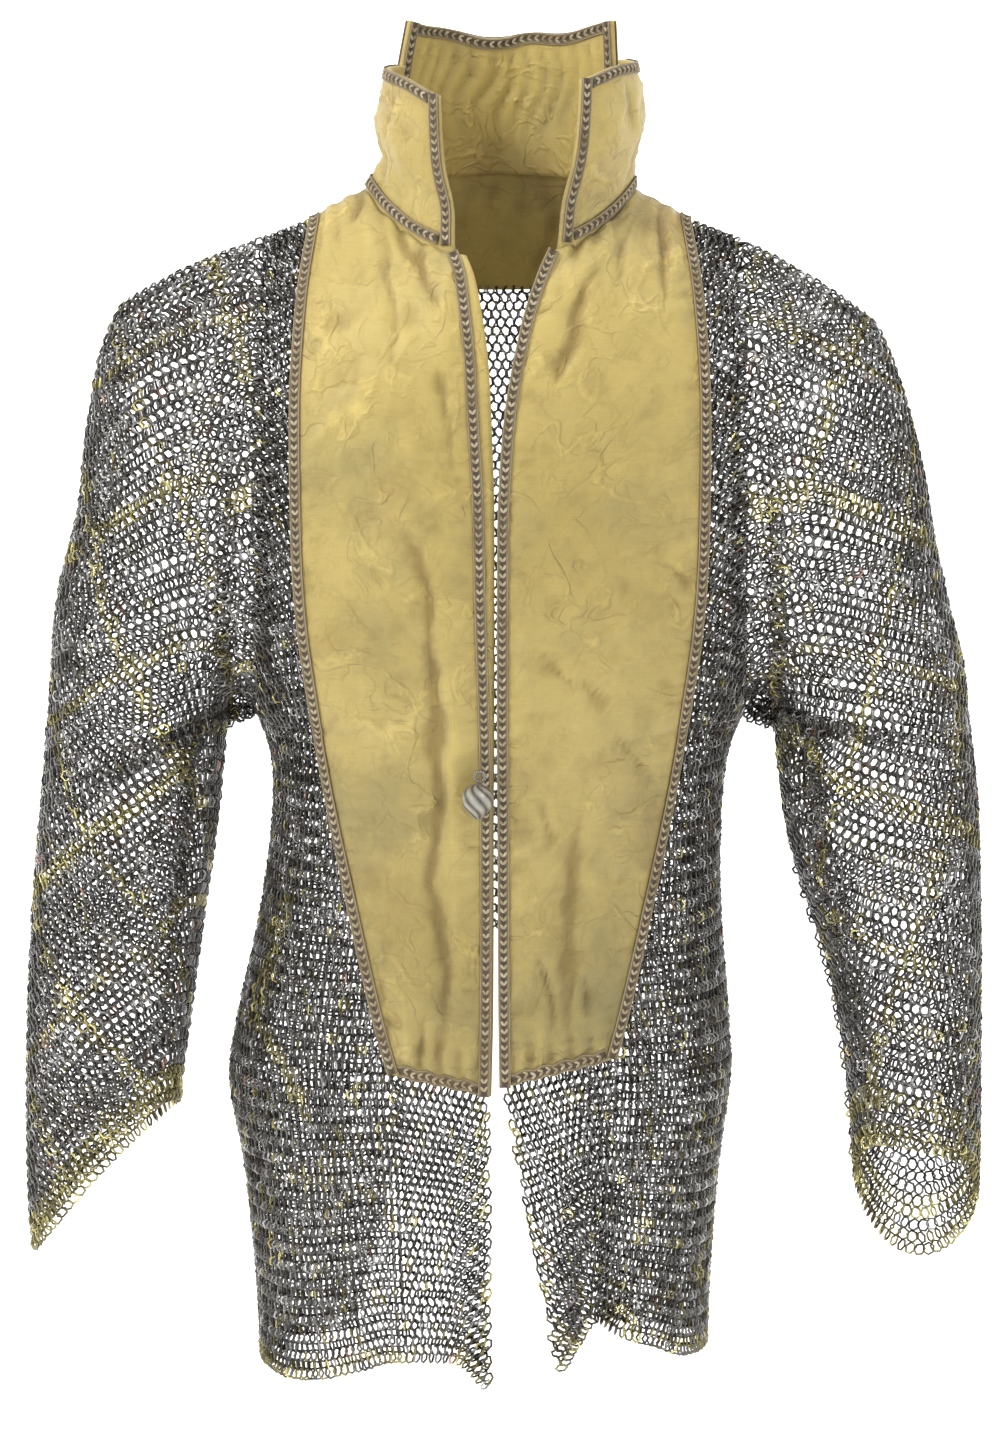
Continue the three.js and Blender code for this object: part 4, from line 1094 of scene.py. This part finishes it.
def collar_point(name, share, up):
    """A point of the collar: on the straight line from the neck seam to the top edge, swollen outwards and drawn
    in above the seam. The back piece's top edge waves."""
    share, up = np.broadcast_arrays(np.asarray(share, float), np.asarray(up, float))
    seam, edge = COLLAR_SPANS[name]["seam"], COLLAR_SPANS[name]["top"]
    angle = mix(mix(seam[0], seam[1], share), mix(edge[0], edge[1], share), up)
    turn = np.where(angle <= 180, np.abs(angle), 360 - angle)
    across, ahead = np.sin(np.radians(angle)), np.cos(np.radians(angle))
    seam_x = NECK_HALF * across
    seam_z = np.where(turn < 90, along(NECK_FRONT, np.abs(seam_x)), along(NECK_BACK, np.abs(seam_x)))
    seam_y = np.where(turn < 90, -depth(-1, seam_x, seam_z), depth(1, seam_x, seam_z))
    top = (COLLAR_MIDDLE_X + along(COLLAR_WIDE, turn) * across, -along(COLLAR_DEEP, turn) * ahead,
           along(COLLAR_TOP[name], turn))
    swell = np.where(turn < 120, 2.5 * (1 + across), 2) * np.sin(np.pi * up)
    waist = np.where(turn < 120, 6.5 - 2.5 * across, 4) * bump(up, 0.25, 0.18)
    wave = 3.2 * up**3 * np.sin(17 * share + 0.6) * np.sin(np.pi * share) if name == "back" else 0
    return np.stack([mix(seam_x, top[0], up) + across * (swell - waist + wave),
                     mix(seam_y, top[1], up) - ahead * (swell + wave),
                     mix(seam_z + COLLAR_CLEAR, top[2], up) + 0.6 * wave], axis=-1)


def collar_normal(name, share, up):
    """Outward normal of the collar, from small steps along it and up it."""
    h = 0.004
    along_step = collar_point(name, share + h, up) - collar_point(name, share - h, up)
    up_step = collar_point(name, share, np.minimum(up + h, 1)) - collar_point(name, share, up - h)
    normal = unit(np.cross(along_step, up_step))
    point = collar_point(name, share, up) - [COLLAR_MIDDLE_X, 0, 0]
    outward = np.sum(normal[..., :2] * point[..., :2], axis=-1, keepdims=True)
    return normal * np.sign(outward)


def collar_piece(name, columns, rows=36):
    """One collar piece: a padded shell, pinned under its braid and crinkled between."""
    share, up = np.meshgrid(np.linspace(0, 1, columns), np.linspace(COLLAR_FOOT, 1, rows))
    point = collar_point(name, share, up)
    arc = abs(np.radians(COLLAR_SPANS[name]["top"][1] - COLLAR_SPANS[name]["top"][0])) * COLLAR_RADIUS
    run, rise = share * arc, up * COLLAR_HEIGHT
    clear = np.minimum(np.minimum(run, arc - run), np.minimum(rise, COLLAR_HEIGHT - rise)) - BRAID_WIDTH
    puff = 1 - np.exp(-(np.maximum(clear, 0) / 5) ** 1.5)
    seed = {"right": 31, "left": 41, "back": 51}[name]
    creases = puff * (0.5 * wobble(run, rise, 26, seed) + 1.0 * crumpled(run, rise, 30, seed + 1)
                      + 0.6 * crumpled(run, rise, 15, seed + 2)
                      - 1.5 * np.exp(-((run - 0.42 * arc + 0.25 * (rise - 70)) / 2.4) ** 2) * ease((rise - 40) / 25)
                      - 1.2 * np.exp(-((run - 0.55 * arc - 0.5 * (rise - 20)) / 3.5) ** 2) * ease((48 - rise) / 25))
    normal = collar_normal(name, share, up)
    inside = np.full_like(puff, -2.0)
    if name == "back":
        gathers = np.abs(np.sin(run / 3.7 + 1.3 * wobble(run, rise, 60, 53))) ** 0.7 - 0.5
        inside = -2.2 - 3.4 * gathers * (0.3 + 0.7 * ease(up * 1.4)) * puff
    outer = point + normal * (1.2 + 1.6 * puff + creases)[..., None]
    # Fold number for the painted fold shade and highlight. On the back piece it follows the gathers of the inner face.
    tone = crease_tone(creases if name != "back" else (-2.0 - inside) * 1.2)
    mesh = shell_mesh(f"collar_{name}_silk", outer, point + normal * inside[..., None], {"fold_shading": tone})
    piece = new_object(f"collar_{name}_silk", mesh, SILK_CLOTH)
    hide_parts("collar_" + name)
    print("collar", name, len(mesh.polygons), "faces")
    return piece


for name, columns in (("right", 40), ("left", 38), ("back", 56)):
    collar_piece(name, columns)

# %% [markdown]
# ## Plaited braid
# Every silk edge is bound with a flat braid: two cords along each side, and a row of plaited arrow heads between.
# A picture of braid would look flat from the side. So the band is one mesh with a ribbed section, and
# each arm of an arrow head is a small lozenge on it. The dark ground between them makes the arrows read.
# %% Braid along a path
CHEVRON_PITCH = 5.2
ARM_LENGTH, ARM_BREADTH, ARM_RISE, ARM_LIFT = 4.1, 1.9, 0.8, 0.5
BAND_PROFILE = [(-3.75, 0.1), (-3.62, 0.95), (-3.1, 1.3), (-2.62, 0.75), (-2.3, 1.0), (-1.95, 0.5), (0, 0.3),
                (1.95, 0.5), (2.3, 1.0), (2.62, 0.75), (3.1, 1.3), (3.62, 0.95), (3.75, 0.1), (0, -0.3)]
PROFILE_TONES = [0.25, 0.55, 0.75, 0.15, 0.72, 0.15, 0.05, 0.15, 0.72, 0.15, 0.75, 0.55, 0.25, 0.20]


def even_steps(points, normals, pitch):
    """The path again, with its points a pitch apart."""
    run = np.r_[0, np.cumsum(np.linalg.norm(np.diff(points, axis=0), axis=-1))]
    at = np.linspace(0, run[-1], max(int(round(run[-1] / pitch)) + 1, 3))
    points, normals = (np.stack([np.interp(at, run, field[:, i]) for i in range(3)], axis=-1)
                       for field in (points, normals))
    return points, unit(normals)


def signed_volume(points, quads):
    """Six times the volume that a closed set of four-sided faces holds, below zero if they face inwards."""
    a, b, c, d = (points[quads[:, i]] for i in range(4))
    return np.sum(a * np.cross(b, c) + a * np.cross(c, d))


def band(points, normals):
    """Ribbed band along a path: its section repeated at each point, with a flat cap on both ends."""
    points, normals = even_steps(points, normals, 3.2)
    across = unit(np.cross(normals, np.gradient(points, axis=0)))
    profile = np.array(BAND_PROFILE)
    grid = (points[:, None] + across[:, None] * profile[None, :, 0, None]
            + normals[:, None] * profile[None, :, 1, None])
    rows, columns = grid.shape[:2]
    index = np.arange(rows * columns).reshape(rows, columns)
    following = np.roll(index, -1, axis=1)
    quads = np.stack([index[:-1], following[:-1], following[1:], index[1:]], axis=-1).reshape(-1, 4)
    caps = np.stack([index[0, ::-1], index[-1]])
    grid = grid.reshape(-1, 3)
    if signed_volume(grid, quads) < 0:
        quads, caps = quads[:, ::-1], caps[:, ::-1]
    return grid, quads, caps, np.tile(PROFILE_TONES, rows)


def chevrons(points, normals, base):
    """Arms of the arrow heads: two rows of lozenges that slant from the cords down to the middle. An arm is
    four sections of growing and shrinking girth."""
    points, normals = even_steps(points, normals, CHEVRON_PITCH)
    tangent = unit(np.gradient(points, axis=0))[1:-1, None, None]
    points, normals = points[1:-1, None, None], normals[1:-1, None, None]
    across = unit(np.cross(normals, tangent))
    count = len(points)
    lengthways = np.array([-1, -0.5, 0.5, 1])[None, :, None, None] * ARM_LENGTH / 2
    girth = np.array([0.3, 1, 1, 0.3])[None, :, None, None]
    quarter = np.arange(4)[None, None, :, None] * np.pi / 2
    index = np.arange(16).reshape(4, 4)
    following = np.roll(index, -1, axis=1)
    one = np.vstack([np.stack([index[:-1], following[:-1], following[1:], index[1:]], axis=-1).reshape(-1, 4),
                     [index[0, ::-1]], [index[-1]]])
    arms = []
    for side in (-1, 1):
        slant = unit(side * 0.62 * across - 0.80 * tangent)
        beside = unit(np.cross(normals, slant))
        arms.append(points + side * 1.12 * across + normals * ARM_LIFT + slant * lengthways
                    + beside * girth * np.cos(quarter) * ARM_BREADTH / 2 + normals * girth * np.sin(quarter) * ARM_RISE)
    arms = np.concatenate([arm.reshape(-1, 3) for arm in arms])
    quads = (one[None] + (np.arange(2 * count) * 16)[:, None, None]).reshape(-1, 4)
    if signed_volume(arms, quads) < 0:
        quads = quads[:, ::-1]
    return arms, quads + base, np.repeat(RNG.uniform(0.68, 1.0, 2 * count), 16)


def braid_material():
    """Thread whose darkness comes from each point's tone: dark ground, pale cords and arrow heads."""
    material, nodes, links, output = new_material("plaited_thread")
    shader = nodes.new("ShaderNodeBsdfPrincipled")
    tone = nodes.new("ShaderNodeAttribute")
    tone.attribute_name = "tone"
    colour = ramp(nodes, links, tone.outputs["Fac"],
                  [(0.05, (0.060, 0.042, 0.024)), (0.45, (0.21, 0.155, 0.080)), (0.8, (0.40, 0.325, 0.19)),
                   (1.0, (0.58, 0.50, 0.34))])
    colour = blend_colours(nodes, links, patches(nodes, 30, 0.50, 0.85), colour, (0.16, 0.105, 0.05))
    links.new(colour, shader.inputs["Base Color"])
    shader.inputs["Roughness"].default_value = 0.6
    fibre = nodes.new("ShaderNodeBump")
    fibre.inputs["Distance"].default_value = 0.0003
    fibre.inputs["Strength"].default_value = 0.6
    links.new(patches(nodes, 1400, 0.3, 0.7), fibre.inputs["Height"])
    links.new(fibre.outputs["Normal"], shader.inputs["Normal"])
    links.new(shader.outputs[0], output.inputs[0])
    return material


BRAID = braid_material()


def braid_piece(node, *paths):
    """Makes a braid, along one path or more, that stands for its CAD node."""
    points, quads, caps, tones, base = [], [], [], [], 0
    for path, normals in paths:
        for part in (band(path, normals), None):
            if part is not None:
                ribbon, faces, ends, tone = part
                caps.append(ends + base)
            else:
                ribbon, faces, tone = chevrons(path, normals, 0)
            points.append(ribbon)
            quads.append(faces + base)
            tones.append(tone)
            base += len(ribbon)
    mesh = poly_mesh(node + "_plait", np.vstack(points), np.vstack(quads), np.vstack(caps))
    point_attribute(mesh, "tone", np.concatenate(tones))
    piece = new_object(node + "_plait", mesh, BRAID)
    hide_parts(node)
    return piece


# %% Braid on the fronts and the yoke
BRAID_LOW = 2.75
HALF = BRAID_WIDTH / 2


def form_path(face, x, z):
    """A path on the worn form at the braid's height, with its normals."""
    normals = form_normals(face, x, z)
    return form_points(face, x, z) + normals * BRAID_LOW, normals


BRAIDS = {}
for name, side in SIDES.items():
    low, high = SILK_BOTTOM[name]
    node = "silk_front_" + name

    def opening_x(z, name=name, side=side):
        return along(OPENING[name], z) + side * (facing(name, z) + HALF)

    def outer_x(z, side=side):
        return side * (along(SILK_OUTER, z) - HALF)

    top = 0.0
    for _ in range(12):
        top = float(front_top(opening_x(np.array(top))))
    z = np.linspace(top, low, 240)
    opening_path = form_path(-1, opening_x(z), z)
    top = 0.0
    for _ in range(12):
        top = float(front_top(outer_x(np.array(top))))
    z = np.linspace(top, high, 240)
    side_path = form_path(-1, outer_x(z), z)
    x = np.linspace(opening_x(np.array(float(low))) + side * HALF, outer_x(np.array(float(high))) - side * HALF, 60)
    hem_path = form_path(-1, x, silk_bottom(name, x) + HALF + 1.0 * np.sin(x / 2.0))
    BRAIDS[node] = [braid_piece(f"braid_{node}_{part}", path)
                    for part, path in (("opening", opening_path), ("side", side_path), ("hem", hem_path))]

x = np.linspace(-SEAM_HALF + 1, SEAM_HALF - 1, 240)
low, high = yoke_edge(x), back_seam(x)
BRAIDS["silk_yoke"] = [braid_piece("braid_silk_yoke_hem", form_path(1, x, np.minimum(low + HALF, mix(low, high, 0.45))))]

# %% Braid on the collar
def collar_path(name, share, up, lift):
    """A path on the collar at a height above its face, with its normals."""
    share, up = np.broadcast_arrays(np.asarray(share, float), np.asarray(up, float))
    normals = collar_normal(name, share, up)
    return collar_point(name, share, up) + normals * lift, normals * np.sign(lift)


for name, span in COLLAR_SPANS.items():
    arc = abs(np.radians(span["top"][1] - span["top"][0])) * COLLAR_RADIUS
    edge, rise = HALF / arc, HALF / COLLAR_HEIGHT
    run, climb = np.linspace(2 * edge, 1 - 2 * edge, 150), np.linspace(1, 0.01, 120)
    bands = {"seam": (run, rise), "top": (run, 1 - rise), "end_1": (edge, climb), "end_2": (1 - edge, climb)}
    BRAIDS["collar_" + name] = []
    for part, (share, up) in bands.items():
        paths = [collar_path(name, share, up, 1.9)]
        if name == "back" and part != "seam":
            paths.append(collar_path(name, share, up, -2.4))
        BRAIDS["collar_" + name].append(braid_piece(f"braid_collar_{name}_{part}", *paths))
print("braids", sum(len(pieces) for pieces in BRAIDS.values()))

# %% [markdown]
# ## Button
# A ball of padding, wound with metal thread in slanting bands and drawn to a point below, with a thread loop above.
# The bands are flutes that turn round the ball as they go down.
# %% Button and loop
BUTTON_X, BUTTON_Z, BUTTON_RADIUS = -14.3, -345, 10.2
LOOP_RADIUS, LOOP_WIRE = 3.2, 1.1


def button_metal():
    """Tarnished metal thread: fine turns across each band, dark in the grooves."""
    material, nodes, links, output = new_material("tarnished_metal_thread")
    shader = nodes.new("ShaderNodeBsdfPrincipled")
    groove = nodes.new("ShaderNodeAttribute")
    groove.attribute_name = "groove"
    colour = ramp(nodes, links, groove.outputs["Fac"],
                  [(0, (0.055, 0.045, 0.032)), (0.5, (0.30, 0.28, 0.235)), (1, (0.52, 0.50, 0.44))])
    links.new(colour, shader.inputs["Base Color"])
    shader.inputs["Metallic"].default_value = 0.75
    shader.inputs["Roughness"].default_value = 0.42
    place, turns, bump_node = (nodes.new(kind) for kind in ("ShaderNodeTexCoord", "ShaderNodeTexWave", "ShaderNodeBump"))
    turns.inputs["Scale"].default_value = 420
    turns.inputs["Distortion"].default_value = 1.5
    bump_node.inputs["Distance"].default_value = 0.0003
    links.new(place.outputs["Object"], turns.inputs["Vector"])
    links.new(turns.outputs["Fac"], bump_node.inputs["Height"])
    links.new(bump_node.outputs["Normal"], shader.inputs["Normal"])
    links.new(shader.outputs[0], output.inputs[0])
    return material


button_y = -(float(depth(-1, np.array(BUTTON_X), np.array(float(BUTTON_Z)))) + 2.6 + 0.35 + 1.9 + BUTTON_RADIUS + 1.2)
METAL_THREAD = button_metal()
ROUND, DOWN = 72, 26
turn, fall = np.meshgrid(np.arange(ROUND) * 2 * np.pi / ROUND, np.linspace(-1.45, 1.45, DOWN))
flute = np.abs(np.cos(3.5 * (turn + 0.9 * fall)))
reach = BUTTON_RADIUS * (0.93 + 0.07 * flute**0.5)
point = np.where(fall < 0, 1 + 0.28 * np.sin(-fall) ** 6, 1)
ball = np.stack([BUTTON_X + reach * np.cos(fall) * np.cos(turn), button_y + reach * np.cos(fall) * np.sin(turn),
                 BUTTON_Z + reach * np.sin(fall) * point], axis=-1)
index = np.arange(ROUND * DOWN).reshape(DOWN, ROUND)
following = np.roll(index, -1, axis=1)
quads = np.stack([index[:-1], following[:-1], following[1:], index[1:]], axis=-1).reshape(-1, 4)
mesh = poly_mesh("button_ball_wound", ball.reshape(-1, 3), quads, np.stack([index[0, ::-1], index[-1]]))
point_attribute(mesh, "groove", flute.ravel())
button = new_object("button_ball_wound", mesh, METAL_THREAD)
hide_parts("button_ball")

major, minor = np.meshgrid(np.arange(36) * 2 * np.pi / 36, np.arange(8) * np.pi / 4, indexing="ij")
loop_reach = LOOP_RADIUS + LOOP_WIRE * np.cos(minor)
loop = np.stack([BUTTON_X + 1.5 + loop_reach * np.cos(major), button_y + LOOP_WIRE * np.sin(minor),
                 BUTTON_Z + BUTTON_RADIUS + LOOP_RADIUS + LOOP_WIRE + 0.3 + loop_reach * np.sin(major)], axis=-1)
index = np.arange(36 * 8).reshape(36, 8)
onward, following = np.roll(index, -1, axis=0), np.roll(index, -1, axis=1)
quads = np.stack([index, onward, np.roll(onward, -1, axis=1), following], axis=-1).reshape(-1, 4)
mesh = poly_mesh("button_loop_thread", loop.reshape(-1, 3), quads)
point_attribute(mesh, "groove", (0.5 + 0.5 * np.cos(14 * major)).ravel())
loop_piece = new_object("button_loop_thread", mesh, METAL_THREAD)
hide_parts("button_loop")

# %% Triangle counts of the shown pieces
triangles = {}
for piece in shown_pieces():
    triangles[piece.name] = sum(len(p.vertices) - 2 for p in piece.data.polygons)
print("triangles", sum(triangles.values()), "most", max(triangles.items(), key=lambda pair: pair[1]))
